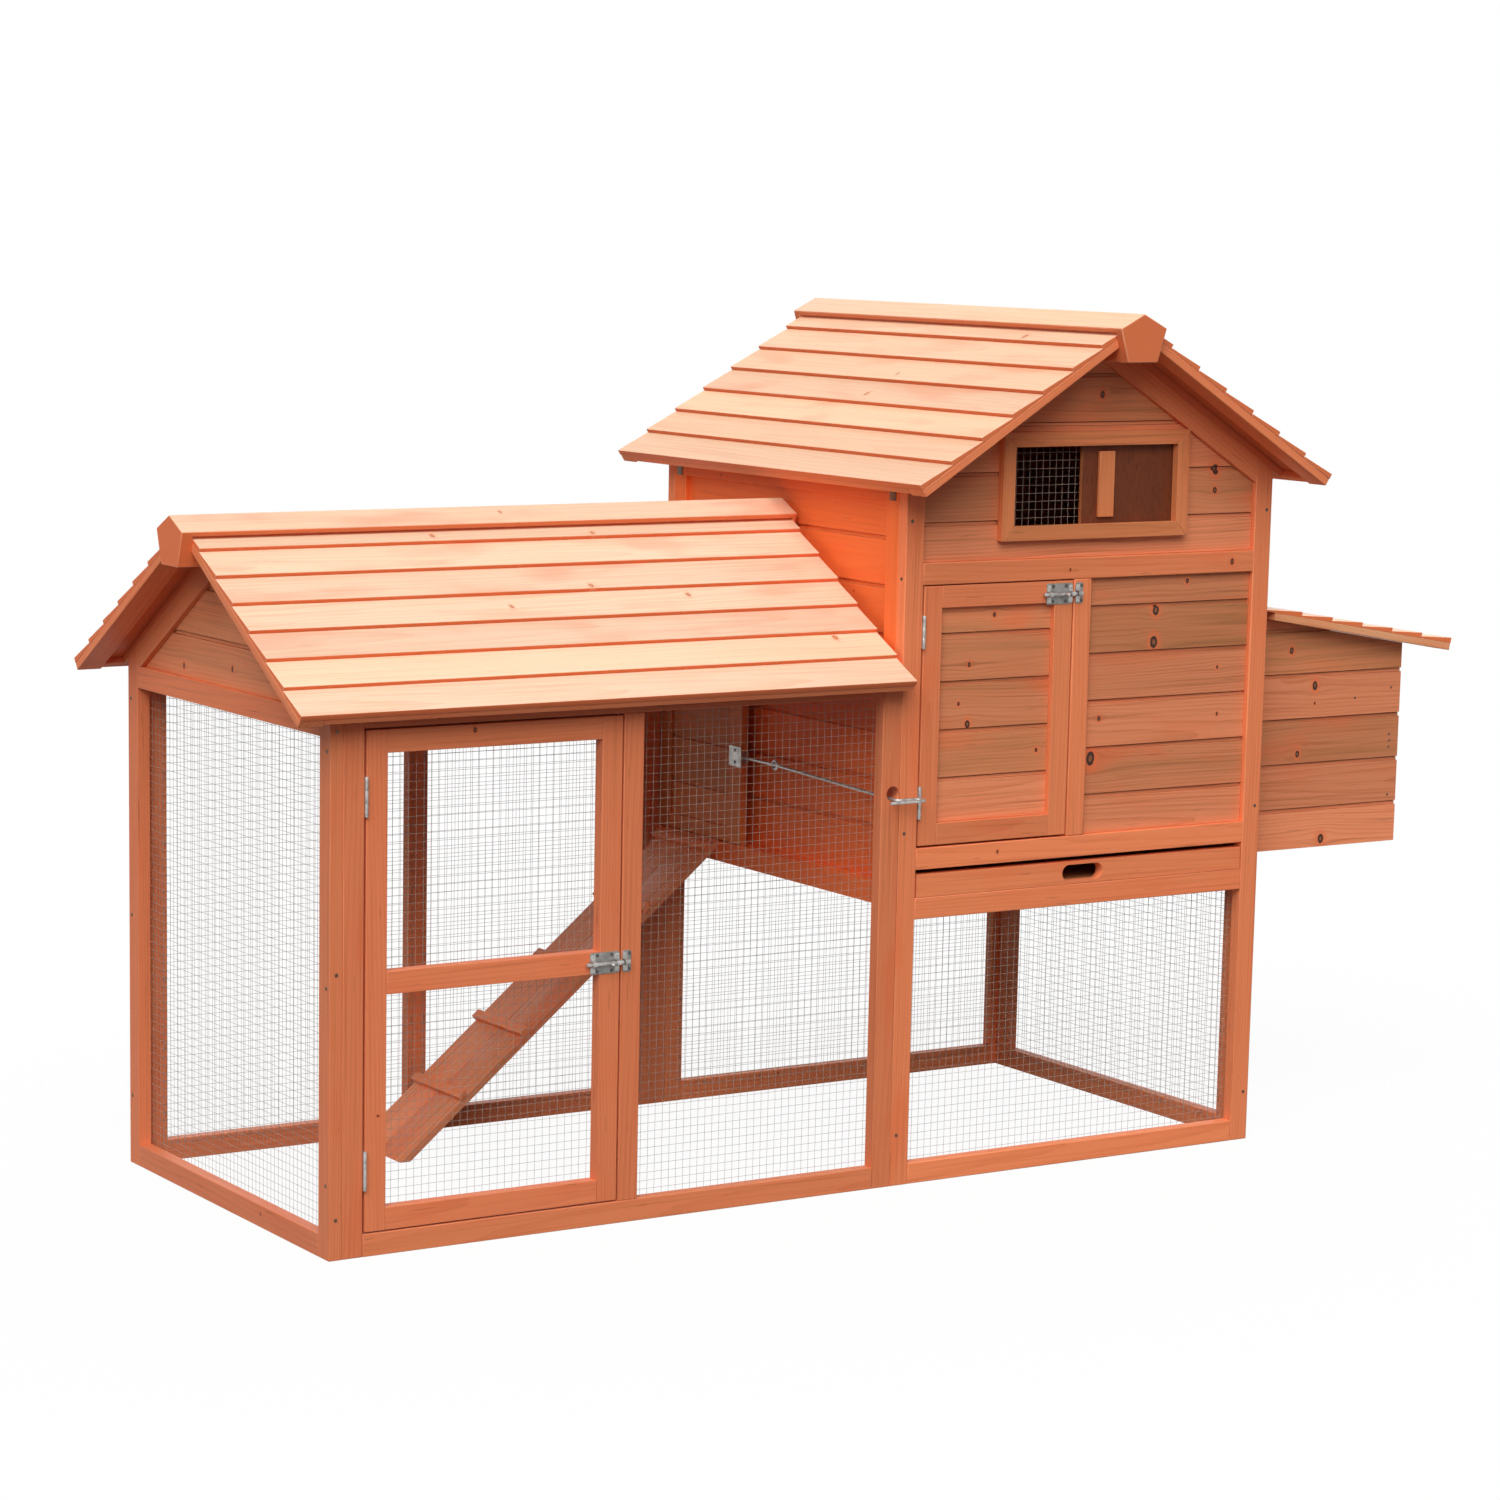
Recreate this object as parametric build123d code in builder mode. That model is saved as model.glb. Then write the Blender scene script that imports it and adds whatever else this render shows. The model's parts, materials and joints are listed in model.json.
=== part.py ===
"""Garden chicken coop with a covered run, built from separate timber, mesh and metal pieces.

Units are millimetres.  The long side lies along X, the front faces -Y, and the origin is at
ground level under the middle of the whole outline.
"""

import math
import os
from dataclasses import dataclass

from build123d import *

# Overall layout
RUN_LENGTH = 982.0
HOUSE_WIDTH = 718.0
DEPTH = 696.0
RUN_EAVE_Z = 807.0
HOUSE_EAVE_Z = 1105.0

# Frame timber and wall boards
FRAME_T = 21.0
STILE_W = 34.0
BOARD_T = 10.0
BOARD_SET = 9.0
BOARD_PITCH = 75.2
BOARD_GAP = 0.6
JOINT = 0.15

# Roofs
ROOF_PITCH = 32.0
ROOF_BUTT_T = 9.5
ROOF_HEAD_T = 3.6
ROOF_EXPOSURE = 65.2
ROOF_SEAM = 0.3
ROOF_COURSES = 7
RAFTER_W = 40.0
RAFTER_H = 12.7
RAFTER_SET = 1.0
RAFTER_INSET = 4.0
EAVE_STRIP_W = 14.0
EAVE_STRIP_H = 10.0
RIDGE_HALF = 44.5
RIDGE_FOOT_HALF = 28.5
RIDGE_RISE = 30.0
RIDGE_SHOULDER = 7.5
RIDGE_DROP = 45.0
RIDGE_TUCK = 8.0
RIDGE_SEAM = 1.5
RUN_EAVE_OVERHANG = 49.0
RUN_GABLE_OVERHANG = 70.0
RUN_RIDGE_OVERHANG = 89.0
RUN_ROOF_END_GAP = 6.0
HOUSE_EAVE_OVERHANG = 43.0
HOUSE_GABLE_OVERHANG = 94.0
HOUSE_RIDGE_OVERHANG = 109.0

# Wire mesh
WIRE = 1.6
MESH_PITCH = 40.0
WINDOW_MESH_PITCH = 13.4
MESH_LAP = 10.0

# Run panels
END_EAVE_RAIL_TOP = 795.0
RUN_GABLE_JOINT_Z = 864.0
POST_X = 485.5
BACK_STILE_W = 56.0
ROD_HOLE_R = 11.3
ROD_HOLE_Z = 622.5
ROD_HOLE_EDGE = 12.5

# Doors
HINGE_GAP = 3.2
LATCH_GAP = 3.2
DOOR_FOOT_GAP = 2.5
RUN_DOOR_HEAD_GAP = 3.0
RUN_DOOR_MID_Z = 385.0
HOUSE_DOOR_FOOT_GAP = 3.5
HOUSE_DOOR_HEAD_GAP = 2.0

# House front levels, each the lower edge of a rail
TRAY_RAIL_Z = 422.0
SILL_Z = 500.0
FRIEZE_Z = 943.0
FIXED_STILE_X = 324.2
FIXED_JOINT_Z = 597.7
DOOR_JOINT_Z = 641.0
GABLE_JOINT_Z = 1038.0
SIDE_FOOT_Z = 447.0
SIDE_JOINT_Z = 563.5

# Gable window
WINDOW_W = 364.0
WINDOW_H = 168.5
WINDOW_Z = 1006.0
WINDOW_TRIM = 23.0
WINDOW_PROUD = 5.0
WINDOW_REBATE = 10.0
TRACK_H = 7.0
SHUTTER_T = 7.0
SHUTTER_W = 187.0
SHUTTER_PLAY = 1.0
GRIP_W = 30.0
GRIP_T = 6.0
GRIP_MARGIN = 12.0
GRIP_OFFSET = 30.0

# Hinges
KNUCKLES = 3
KNUCKLE_R = 2.75
PIN_R = 1.3
PIN_PLAY = 0.05
LEAF_T = 1.2
LEAF_W = 17.0
LEAF_START = 0.3
KNUCKLE_PLAY = 0.3
RUN_HINGE_H = 58.0
HOUSE_HINGE_H = 50.8
LID_HINGE_H = 60.0
RUN_HINGE_Z = (128.5, 675.0)
HOUSE_HINGE_Z = (605.5, 870.7)
LID_HINGE_Y = 180.0

# Barrel bolts
BOLT_R = 3.0
BOLT_PLAY = 0.08
BOLT_LIFT = 7.0
BOLT_PLATE_L = 50.0
BOLT_PLATE_W = 33.0
BOLT_PLATE_T = 1.2
BOLT_INSET = 1.5
BOLT_GUIDE_L = 8.0
BOLT_GUIDE_W = 12.0
BOLT_GUIDE_H = 11.5
BOLT_TAIL = 9.0
BOLT_TIP_GAP = 1.0
KNOB_R = 2.5
KNOB_TOP = 21.0
KNOB_X = 21.5
KEEPER_L = 15.0
KEEPER_PLAY = 0.6
RUN_BOLT_Z = 401.0
HOUSE_BOLT_Z = 921.0

# Droppings tray
TRAY_FRONT_T = 18.0
TRAY_TOP_Z = 492.0
TRAY_SIDE_GAP = 3.0
TRAY_LIFT = 0.5
TRAY_FLOOR_T = 5.0
TRAY_WALL_T = 10.0
TRAY_WALL_H = 20.0
TRAY_PAN_INSET = 4.0
TRAY_BACK_GAP = 6.0
SLOT_L = 80.0
SLOT_W = 26.0
RUNNER_W = 37.0
RUNNER_H = 20.0

# Pop door and its pull
GUIDE_T = 21.0
GUIDE_H = 34.0
POP_T = 13.0
POP_STILE = 35.0
POP_FOOT_RAIL = 24.0
POP_WIDTH = 252.0
POP_HEIGHT = 262.0
POP_BACK_GAP = 2.0
POP_LIFT = 2.0
POP_BOARD_T = 6.0
POP_JOINT_Z = 567.0
TONGUE_W = 6.0
TONGUE_H = 8.0
GROOVE_W = 8.0
GROOVE_H = 8.0
POP_LAP = 49.0
POP_HOLE_Z0 = 510.0
POP_HOLE_Z1 = 705.0
PLATE_T = 2.0
PLATE_W = 36.0
PLATE_Z0 = 611.0
PLATE_Z1 = 644.0
TAB_H = 20.0
ROD_R = 2.5
ROD_Z = 626.0
ROD_OUT_Z = 613.9
ROD_EYE_REACH = 89.0
ROD_EYE_R = 7.0
ROD_EYE_WIRE = 2.2
HANDLE_STANDOFF = 14.0
HANDLE_GAP = 20.0
HANDLE_BEND = 9.5
HANDLE_RIGHT = 42.0
HANDLE_LEFT = 24.0

# Ramp
RAMP_FOOT_X = 375.0
RAMP_TOP_Z = 483.0
RAMP_T = 12.0
RAMP_Y0 = 490.0
RAMP_BOARD_W = 78.0
RAMP_GAP = 2.0
CLEAT_W = 16.0
CLEAT_H = 10.0
CLEAT_FIRST = 149.0
CLEAT_PITCH = 147.0
CLEAT_COUNT = 5
CLEAT_OVER = 2.0

# Nest box
NEST_WIDTH = 580.0
NEST_REACH = 344.5
NEST_Z = 469.5
NEST_JOINT_Z = 538.0
NEST_POST = 20.0
NEST_HOLE_MARGIN = 60.0
NEST_HOLE_Z0 = 505.0
NEST_HOLE_Z1 = 760.0
DIVIDER_Z1 = 750.0
LID_PITCH = 9.7
LID_REACH = 425.0
LID_EXPOSURE = 66.6
LID_COURSES = 6
LID_TOP_Z = 814.0
LID_WALL_GAP = 1.0
LID_OVERHANG = 32.0
LID_BATTEN_H = 12.0
LID_BATTEN_W = 38.0
LID_BATTEN_HEAD = 40.0
LID_REST_GAP = 0.3

# Small parts
PERCH_W = 22.0
PERCH_Z = 610.0
BRACKET_T = 1.5
BRACKET_W = 16.0
BRACKET_LEG = 34.0
BRACKET_REACH = 20.0
SCREW_R = 3.0
SCREW_H = 0.8
SCREW_EDGE = 10.5
RUN_SCREW_Z = (110.0, 400.0, 742.0)
HOUSE_SCREW_Z = (81.0, 559.0, 1042.0)

# Turns that lay an upright round along an axis
LAID_ALONG_X = (0, 90, 0)
LAID_ALONG_Y = (90, 0, 0)

# Positions that follow from the sizes
TOTAL_LENGTH = RUN_RIDGE_OVERHANG + RUN_LENGTH + HOUSE_WIDTH + LID_REACH
RUN_X0 = RUN_RIDGE_OVERHANG - TOTAL_LENGTH / 2
HOUSE_X0 = RUN_X0 + RUN_LENGTH
HOUSE_X1 = HOUSE_X0 + HOUSE_WIDTH
HOUSE_XC = HOUSE_X0 + HOUSE_WIDTH / 2
FRONT = -DEPTH / 2
BACK = DEPTH / 2
FRONT_IN = FRONT + FRAME_T
BACK_IN = BACK - FRAME_T
BAY_X0 = HOUSE_X0 + STILE_W
BAY_X1 = HOUSE_X1 - STILE_W
SILL_TOP = SILL_Z + STILE_W
FRIEZE_TOP = FRIEZE_Z + STILE_W
RUN_TOP_RAIL_Z = RUN_EAVE_Z - STILE_W
HOUSE_TOP_RAIL_Z = HOUSE_EAVE_Z - STILE_W
TRAY_RAIL_TOP = TRAY_RAIL_Z + STILE_W
SIDES = (-1, 1)
PITCH = math.radians(ROOF_PITCH)


def timber(x0, x1, y0, y1, z0, z1, mode=Mode.ADD):
    """Add one straight piece that fills the given span on each axis."""
    with Locations(((x0 + x1) / 2, (y0 + y1) / 2, (z0 + z1) / 2)):
        Box(x1 - x0, y1 - y0, z1 - z0, mode=mode)


def prism(plane, points, length, mode=Mode.ADD):
    """Add a closed outline drawn on a plane and drawn out square to it."""
    with BuildSketch(plane) as profile:
        with BuildLine():
            Polyline(*points, close=True)
        make_face()
    extrude(profile.sketch, amount=length, mode=mode)


def prism_x(points, x0, x1, mode=Mode.ADD):
    """Add an outline of (y, z) pairs between two X positions."""
    plane = Plane(origin=(x0, 0, 0), x_dir=(0, 1, 0), z_dir=(1, 0, 0))
    prism(plane, points, x1 - x0, mode)


def prism_y(points, y0, y1, mode=Mode.ADD):
    """Add an outline of (x, z) pairs between two Y positions."""
    plane = Plane(origin=(0, y1, 0), x_dir=(1, 0, 0), z_dir=(0, -1, 0))
    prism(plane, points, y1 - y0, mode)


def placed(points, centre, side):
    """Turn (distance, height) pairs into positions on one side of a centre line."""
    return [(centre + side * distance, height) for distance, height in points]


def clip(points, room):
    """Keep the part of an outline where room(point) is not negative."""
    kept = []
    for start, end in zip(points, points[1:] + points[:1]):
        start_room = room(start)
        end_room = room(end)
        if start_room >= 0:
            kept.append(start)
        if start_room * end_room < 0:
            part = start_room / (start_room - end_room)
            kept.append(tuple(a + part * (b - a) for a, b in zip(start, end)))
    return kept


def rectangle(x0, x1, z0, z1):
    """Return the four corners of an upright rectangle."""
    return [(x0, z0), (x1, z0), (x1, z1), (x0, z1)]


def plank_rows(z0, z1, first_joint, pitch=BOARD_PITCH):
    """Return the lower and upper edge of each board between two heights."""
    levels = [z0]
    joint = first_joint
    while joint < z1:
        levels.append(joint)
        joint += pitch
    levels.append(z1)
    return [(low + JOINT, high - BOARD_GAP) for low, high in zip(levels, levels[1:])]


def net(plane, width, height, pitch):
    """Add a flat woven net centred on a plane, as one holed sheet."""
    columns = max(1, round(width / pitch))
    rows = max(1, round(height / pitch))
    step_x = (width - WIRE) / columns
    step_y = (height - WIRE) / rows
    with BuildSketch(plane) as weave:
        Rectangle(width, height)
        with GridLocations(step_x, step_y, columns, rows):
            Rectangle(step_x - WIRE, step_y - WIRE, mode=Mode.SUBTRACT)
    extrude(weave.sketch, amount=WIRE)


def net_y(x0, x1, z0, z1, y, pitch=MESH_PITCH):
    """Add a net that faces the front, its far face one wire behind y."""
    origin = ((x0 + x1) / 2, y + WIRE, (z0 + z1) / 2)
    net(Plane(origin=origin, x_dir=(1, 0, 0), z_dir=(0, -1, 0)), x1 - x0, z1 - z0, pitch)


def net_x(y0, y1, z0, z1, x, pitch=MESH_PITCH):
    """Add a net that faces along X, starting at x."""
    origin = (x, (y0 + y1) / 2, (z0 + z1) / 2)
    net(Plane(origin=origin, x_dir=(0, 1, 0), z_dir=(1, 0, 0)), y1 - y0, z1 - z0, pitch)


@dataclass(frozen=True)
class Slope:
    """A pitched line: u runs down the pitch and v stands square off it."""

    start: float
    top_z: float
    pitch: float

    def at(self, u, v):
        """Return (horizontal distance, height) for a place on the slope."""
        across = self.start + u * math.cos(self.pitch) + v * math.sin(self.pitch)
        return (across, self.top_z - u * math.sin(self.pitch) + v * math.cos(self.pitch))

    def height(self, across, v=0.0):
        """Return the height of the line v off the slope at a horizontal distance."""
        return self.top_z + v / math.cos(self.pitch) - (across - self.start) * math.tan(self.pitch)


@dataclass(frozen=True)
class BevelBoards:
    """Courses of wedge-shaped boards laid edge to edge down one slope."""

    slope: Slope
    reach: float
    exposure: float
    courses: int
    first_across: float

    @property
    def taper(self):
        """Angle between the two faces of a board."""
        return math.atan((ROOF_BUTT_T - ROOF_HEAD_T) / self.exposure)

    @property
    def eave_u(self):
        """Distance down the slope of the lowest board's outer edge."""
        run = self.reach - self.slope.start - ROOF_BUTT_T * math.sin(self.slope.pitch)
        return run / math.cos(self.slope.pitch)

    def course(self, index):
        """Return the outline of one board, counted from the top; the first is cut to fit."""
        foot_u = self.eave_u - (self.courses - 1 - index) * self.exposure
        head_u = foot_u - self.exposure + ROOF_SEAM
        if index == 0:
            head_u = (self.first_across - self.slope.start) / math.cos(self.slope.pitch)
        head_t = ROOF_BUTT_T - (foot_u - head_u) * math.tan(self.taper)
        corners = ((head_u, JOINT), (foot_u, JOINT), (foot_u, ROOF_BUTT_T), (head_u, head_t))
        return [self.slope.at(u, v) for u, v in corners]


@dataclass(frozen=True)
class RidgedRoof:
    """Cross-section of a roof with two equal slopes, measured from its ridge line."""

    half_span: float
    eave_z: float
    overhang: float

    @property
    def peak_z(self):
        """Height where the undersides of the rafters would meet."""
        return self.eave_z + self.half_span * math.tan(PITCH)

    @property
    def slope(self):
        """The underside of the rafters on one side."""
        return Slope(0.0, self.peak_z, PITCH)

    @property
    def rafter_top(self):
        """The upper side of the rafters on one side."""
        return Slope(0.0, self.peak_z + RAFTER_H / math.cos(PITCH), PITCH)

    @property
    def boards(self):
        """The wedge-shaped boards of one slope."""
        reach = self.half_span + self.overhang
        return BevelBoards(self.rafter_top, reach, ROOF_EXPOSURE, ROOF_COURSES, RIDGE_HALF - RIDGE_TUCK)

    def ridge(self, centre, grow=0.0):
        """Return the outline of the solid ridge beam."""
        half = (
            (RIDGE_FOOT_HALF + grow, self.peak_z - RIDGE_DROP - grow),
            (RIDGE_HALF + grow, self.peak_z + RIDGE_SHOULDER),
        )
        apex = (centre, self.peak_z + RIDGE_RISE + grow)
        right = placed(half, centre, 1)
        left = placed(half, centre, -1)
        return right + [apex] + left[::-1]

    @property
    def tip_u(self):
        """Distance down the slope of a rafter's outer end."""
        return self.boards.eave_u - RAFTER_SET

    def rafter(self, short=0.0):
        """Return one rafter laid flat, cut square a little short of the eave."""
        tip = self.tip_u - short
        return [
            (JOINT, self.slope.height(JOINT)),
            (JOINT, self.rafter_top.height(JOINT)),
            self.rafter_top.at(tip, 0.0),
            self.rafter_top.at(tip, -RAFTER_H),
        ]

    def eave_strip(self):
        """Return the strip that closes the eave under the lowest board."""
        head = self.tip_u - EAVE_STRIP_W
        return [self.rafter_top.at(u, v) for u, v in rectangle(head, self.tip_u, -EAVE_STRIP_H, 0.0)]

    def stile(self, foot_z):
        """Return a gable stile whose top follows the slope."""
        inner = self.half_span - STILE_W
        return [
            (inner, foot_z),
            (self.half_span, foot_z),
            (self.half_span, self.slope.height(self.half_span) - JOINT),
            (inner, self.slope.height(inner) - JOINT),
        ]

    def gable_rail(self, floor_z):
        """Return a sloping gable rail, cut off above a level rail if it reaches one."""
        outer = self.half_span - STILE_W - JOINT
        band = [
            (JOINT, self.slope.height(JOINT, -STILE_W)),
            (outer, self.slope.height(outer, -STILE_W)),
            (outer, self.slope.height(outer) - JOINT),
            (JOINT, self.slope.height(JOINT) - JOINT),
        ]
        return clip(band, lambda point: point[1] - floor_z - JOINT)

    def gable_board(self, centre, z0, z1):
        """Return one level board trimmed to fit between the sloping rails."""
        outer = self.half_span - STILE_W - JOINT
        outline = rectangle(-outer, outer, z0, z1)
        for side in SIDES:
            outline = clip(
                outline,
                lambda point, way=side: self.slope.height(way * point[0], -STILE_W) - JOINT - point[1],
            )
        return placed(outline, centre, 1)


run_roof = RidgedRoof(DEPTH / 2, RUN_EAVE_Z, RUN_EAVE_OVERHANG)
house_roof = RidgedRoof(HOUSE_WIDTH / 2, HOUSE_EAVE_Z, HOUSE_EAVE_OVERHANG)
RAFTER_SHORT = EAVE_STRIP_W + JOINT
RUN_RAFTER_X0 = (
    RUN_X0 + RAFTER_INSET,
    (RUN_X0 + HOUSE_X0 - RAFTER_W) / 2,
    HOUSE_X0 - RAFTER_W,
)
HOUSE_RAFTER_Y0 = (
    FRONT + RAFTER_INSET,
    -RAFTER_W / 2,
    BACK - RAFTER_INSET - RAFTER_W,
)

# Run end panel
end_x1 = RUN_X0 + FRAME_T
with BuildPart() as run_end_frame:
    for side in SIDES:
        prism_x(placed(run_roof.stile(0.0), 0.0, side), RUN_X0, end_x1)
        prism_x(placed(run_roof.gable_rail(END_EAVE_RAIL_TOP), 0.0, side), RUN_X0, end_x1)
    prism_x(run_roof.ridge(0.0, JOINT), RUN_X0, end_x1, mode=Mode.SUBTRACT)
    end_y = BACK - STILE_W - JOINT
    timber(RUN_X0, end_x1, -end_y, end_y, 0.0, STILE_W)
    timber(RUN_X0, end_x1, -end_y, end_y, END_EAVE_RAIL_TOP - STILE_W, END_EAVE_RAIL_TOP)

board_x0 = RUN_X0 + BOARD_SET
run_gable_top = run_roof.peak_z - RIDGE_DROP
with BuildPart() as run_end_boards:
    for low, high in plank_rows(END_EAVE_RAIL_TOP, run_gable_top, RUN_GABLE_JOINT_Z):
        prism_x(run_roof.gable_board(0.0, low, high), board_x0, board_x0 + BOARD_T)

with BuildPart() as run_end_mesh:
    mesh_y = BACK - STILE_W + MESH_LAP
    mesh_top = END_EAVE_RAIL_TOP - STILE_W + MESH_LAP
    net_x(-mesh_y, mesh_y, STILE_W - MESH_LAP, mesh_top, end_x1)

# Run front and back panels
run_bay_x0 = end_x1 + STILE_W
run_bay_x1 = HOUSE_X0 - STILE_W
post_x0 = RUN_X0 + POST_X
post_x1 = post_x0 + STILE_W


def run_side_frame(y0, y1, last_w):
    """Add the stiles, post and rails of one long side of the run; the last stile is last_w wide."""
    last_x0 = HOUSE_X0 - last_w
    for x0, x1 in ((end_x1, run_bay_x0), (last_x0, HOUSE_X0)):
        timber(x0, x1, y0, y1, 0.0, RUN_EAVE_Z - JOINT)
    timber(run_bay_x0 + JOINT, last_x0 - JOINT, y0, y1, 0.0, STILE_W)
    timber(run_bay_x0 + JOINT, last_x0 - JOINT, y0, y1, RUN_TOP_RAIL_Z, RUN_EAVE_Z - JOINT)
    timber(post_x0, post_x1, y0, y1, STILE_W + JOINT, RUN_TOP_RAIL_Z - JOINT)


rod_hole_x = HOUSE_X0 - ROD_HOLE_EDGE
with BuildPart() as run_front_frame:
    run_side_frame(FRONT, FRONT_IN, STILE_W)
    hole_plane = Plane(origin=(rod_hole_x, FRONT_IN, ROD_HOLE_Z), x_dir=(1, 0, 0), z_dir=(0, -1, 0))
    with BuildSketch(hole_plane) as rod_hole:
        Circle(ROD_HOLE_R)
    extrude(rod_hole.sketch, amount=FRAME_T, mode=Mode.SUBTRACT)

with BuildPart() as run_back_frame:
    run_side_frame(BACK_IN, BACK, BACK_STILE_W)

side_mesh_z0 = STILE_W - MESH_LAP
side_mesh_z1 = RUN_TOP_RAIL_Z + MESH_LAP
with BuildPart() as run_front_mesh:
    net_y(post_x1 - MESH_LAP, run_bay_x1 + MESH_LAP, side_mesh_z0, side_mesh_z1, FRONT_IN)
    rod_way = ROD_HOLE_R + MESH_LAP
    timber(
        rod_hole_x - rod_way,
        run_bay_x1 + MESH_LAP,
        FRONT_IN,
        FRONT_IN + WIRE,
        ROD_HOLE_Z - rod_way,
        ROD_HOLE_Z + rod_way,
        mode=Mode.SUBTRACT,
    )

with BuildPart() as run_back_mesh:
    net_y(run_bay_x0 - MESH_LAP, post_x0 + MESH_LAP, side_mesh_z0, side_mesh_z1, BACK_IN - WIRE)
    back_mesh_x1 = HOUSE_X0 - BACK_STILE_W + MESH_LAP
    net_y(post_x1 - MESH_LAP, back_mesh_x1, side_mesh_z0, side_mesh_z1, BACK_IN - WIRE)

# Run roof
roof_x0 = RUN_X0 - RUN_GABLE_OVERHANG
roof_x1 = HOUSE_X0 - RUN_ROOF_END_GAP
with BuildPart() as run_roof_boards:
    for side in SIDES:
        for index in range(ROOF_COURSES):
            prism_x(placed(run_roof.boards.course(index), 0.0, side), roof_x0, roof_x1)
    prism_x(run_roof.ridge(0.0, RIDGE_SEAM), roof_x0, roof_x1, mode=Mode.SUBTRACT)

with BuildPart() as run_roof_rafters:
    rake_x1 = roof_x0 + RAFTER_W
    for side in SIDES:
        prism_x(placed(run_roof.rafter(), 0.0, side), roof_x0, rake_x1)
        for x0 in RUN_RAFTER_X0:
            prism_x(placed(run_roof.rafter(RAFTER_SHORT), 0.0, side), x0, x0 + RAFTER_W)
        prism_x(placed(run_roof.eave_strip(), 0.0, side), rake_x1 + JOINT, roof_x1)
    prism_x(run_roof.ridge(0.0, JOINT), roof_x0, HOUSE_X0, mode=Mode.SUBTRACT)

with BuildPart() as run_ridge_beam:
    prism_x(run_roof.ridge(0.0), RUN_X0 - RUN_RIDGE_OVERHANG, HOUSE_X0)

# Run door
run_door_x0 = run_bay_x0 + HINGE_GAP
run_door_x1 = post_x0 - LATCH_GAP
run_door_z0 = STILE_W + DOOR_FOOT_GAP
run_door_z1 = RUN_TOP_RAIL_Z - RUN_DOOR_HEAD_GAP
with BuildPart() as run_door_frame:
    timber(run_door_x0, run_door_x0 + STILE_W, FRONT, FRONT_IN, run_door_z0, run_door_z1)
    timber(run_door_x1 - STILE_W, run_door_x1, FRONT, FRONT_IN, run_door_z0, run_door_z1)
    rail_x0 = run_door_x0 + STILE_W + JOINT
    rail_x1 = run_door_x1 - STILE_W - JOINT
    for rail_z in (run_door_z0, RUN_DOOR_MID_Z, run_door_z1 - STILE_W):
        timber(rail_x0, rail_x1, FRONT, FRONT_IN, rail_z, rail_z + STILE_W)

with BuildPart() as run_door_mesh:
    lap = STILE_W - MESH_LAP
    net_y(run_door_x0 + lap, run_door_x1 - lap, run_door_z0 + lap, run_door_z1 - lap, FRONT_IN)


def leaf_knuckle(height, span, bored):
    """Add one knuckle of a hinge around its pin, in the hinge's own frame."""
    z0, z1 = span
    with Locations((0, 0, (z0 + z1) / 2 - height / 2)):
        Cylinder(KNUCKLE_R, z1 - z0)
        if bored:
            Cylinder(PIN_R + PIN_PLAY, z1 - z0, mode=Mode.SUBTRACT)


def middle_span(height):
    """Return the span of the middle knuckle."""
    return (height / KNUCKLES, height - height / KNUCKLES)


def outer_spans(height):
    """Return the spans of the two end knuckles."""
    low, high = middle_span(height)
    return ((0.0, low - KNUCKLE_PLAY), (high + KNUCKLE_PLAY, height))


def edge_leaf(height, spans, side, pinned):
    """Add a leaf that lies in the gap beside a door, in the hinge's own frame."""
    near = LEAF_START
    far = HINGE_GAP / 2
    x0, x1 = sorted((side * near, side * far))
    plate_y = KNUCKLE_R + LEAF_START
    timber(x0, x1, plate_y, plate_y + LEAF_W, -height / 2, height / 2)
    for z0, z1 in spans:
        timber(x0, x1, 0.0, plate_y, z0 - height / 2, z1 - height / 2)
    for span in spans:
        leaf_knuckle(height, span, not pinned)
    if pinned:
        Cylinder(PIN_R, height)


def hinge_planes(x, levels):
    """Return the frames of the hinges on one upright pin line."""
    return [Plane(origin=(x, FRONT - KNUCKLE_R, z), x_dir=(1, 0, 0), z_dir=(0, 0, 1)) for z in levels]


run_hinge_planes = hinge_planes(run_bay_x0 + HINGE_GAP / 2, RUN_HINGE_Z)
run_spans = outer_spans(RUN_HINGE_H)
with BuildPart(*run_hinge_planes) as run_door_hinges:
    edge_leaf(RUN_HINGE_H, run_spans, 1, False)
with BuildPart(*run_hinge_planes) as run_post_hinges:
    edge_leaf(RUN_HINGE_H, (middle_span(RUN_HINGE_H),), -1, True)

# Barrel bolts, drawn in a frame that starts at the door's closing edge
bolt_plate_x0 = -BOLT_INSET - BOLT_PLATE_L
keeper_x0 = LATCH_GAP + BOLT_INSET


def bolt_plane(edge_x, z):
    """Return the frame of one bolt, with its third axis out of the door."""
    return Plane(origin=(edge_x, FRONT, z), x_dir=(1, 0, 0), z_dir=(0, -1, 0))


def bolt_guide(x0, bore_r):
    """Add one bored block that a bolt slides through."""
    timber(x0, x0 + BOLT_GUIDE_L, -BOLT_GUIDE_W / 2, BOLT_GUIDE_W / 2, 0.0, BOLT_GUIDE_H)
    with Locations(Location((x0 + BOLT_GUIDE_L / 2, 0, BOLT_LIFT), LAID_ALONG_X)):
        Cylinder(bore_r, BOLT_GUIDE_L, mode=Mode.SUBTRACT)


def bolt_case():
    """Add the plate and the two guides of a bolt."""
    half_w = BOLT_PLATE_W / 2
    timber(bolt_plate_x0, -BOLT_INSET, -half_w, half_w, 0.0, BOLT_PLATE_T)
    bolt_guide(bolt_plate_x0, BOLT_R + BOLT_PLAY)
    bolt_guide(-BOLT_INSET - BOLT_GUIDE_L, BOLT_R + BOLT_PLAY)


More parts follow.
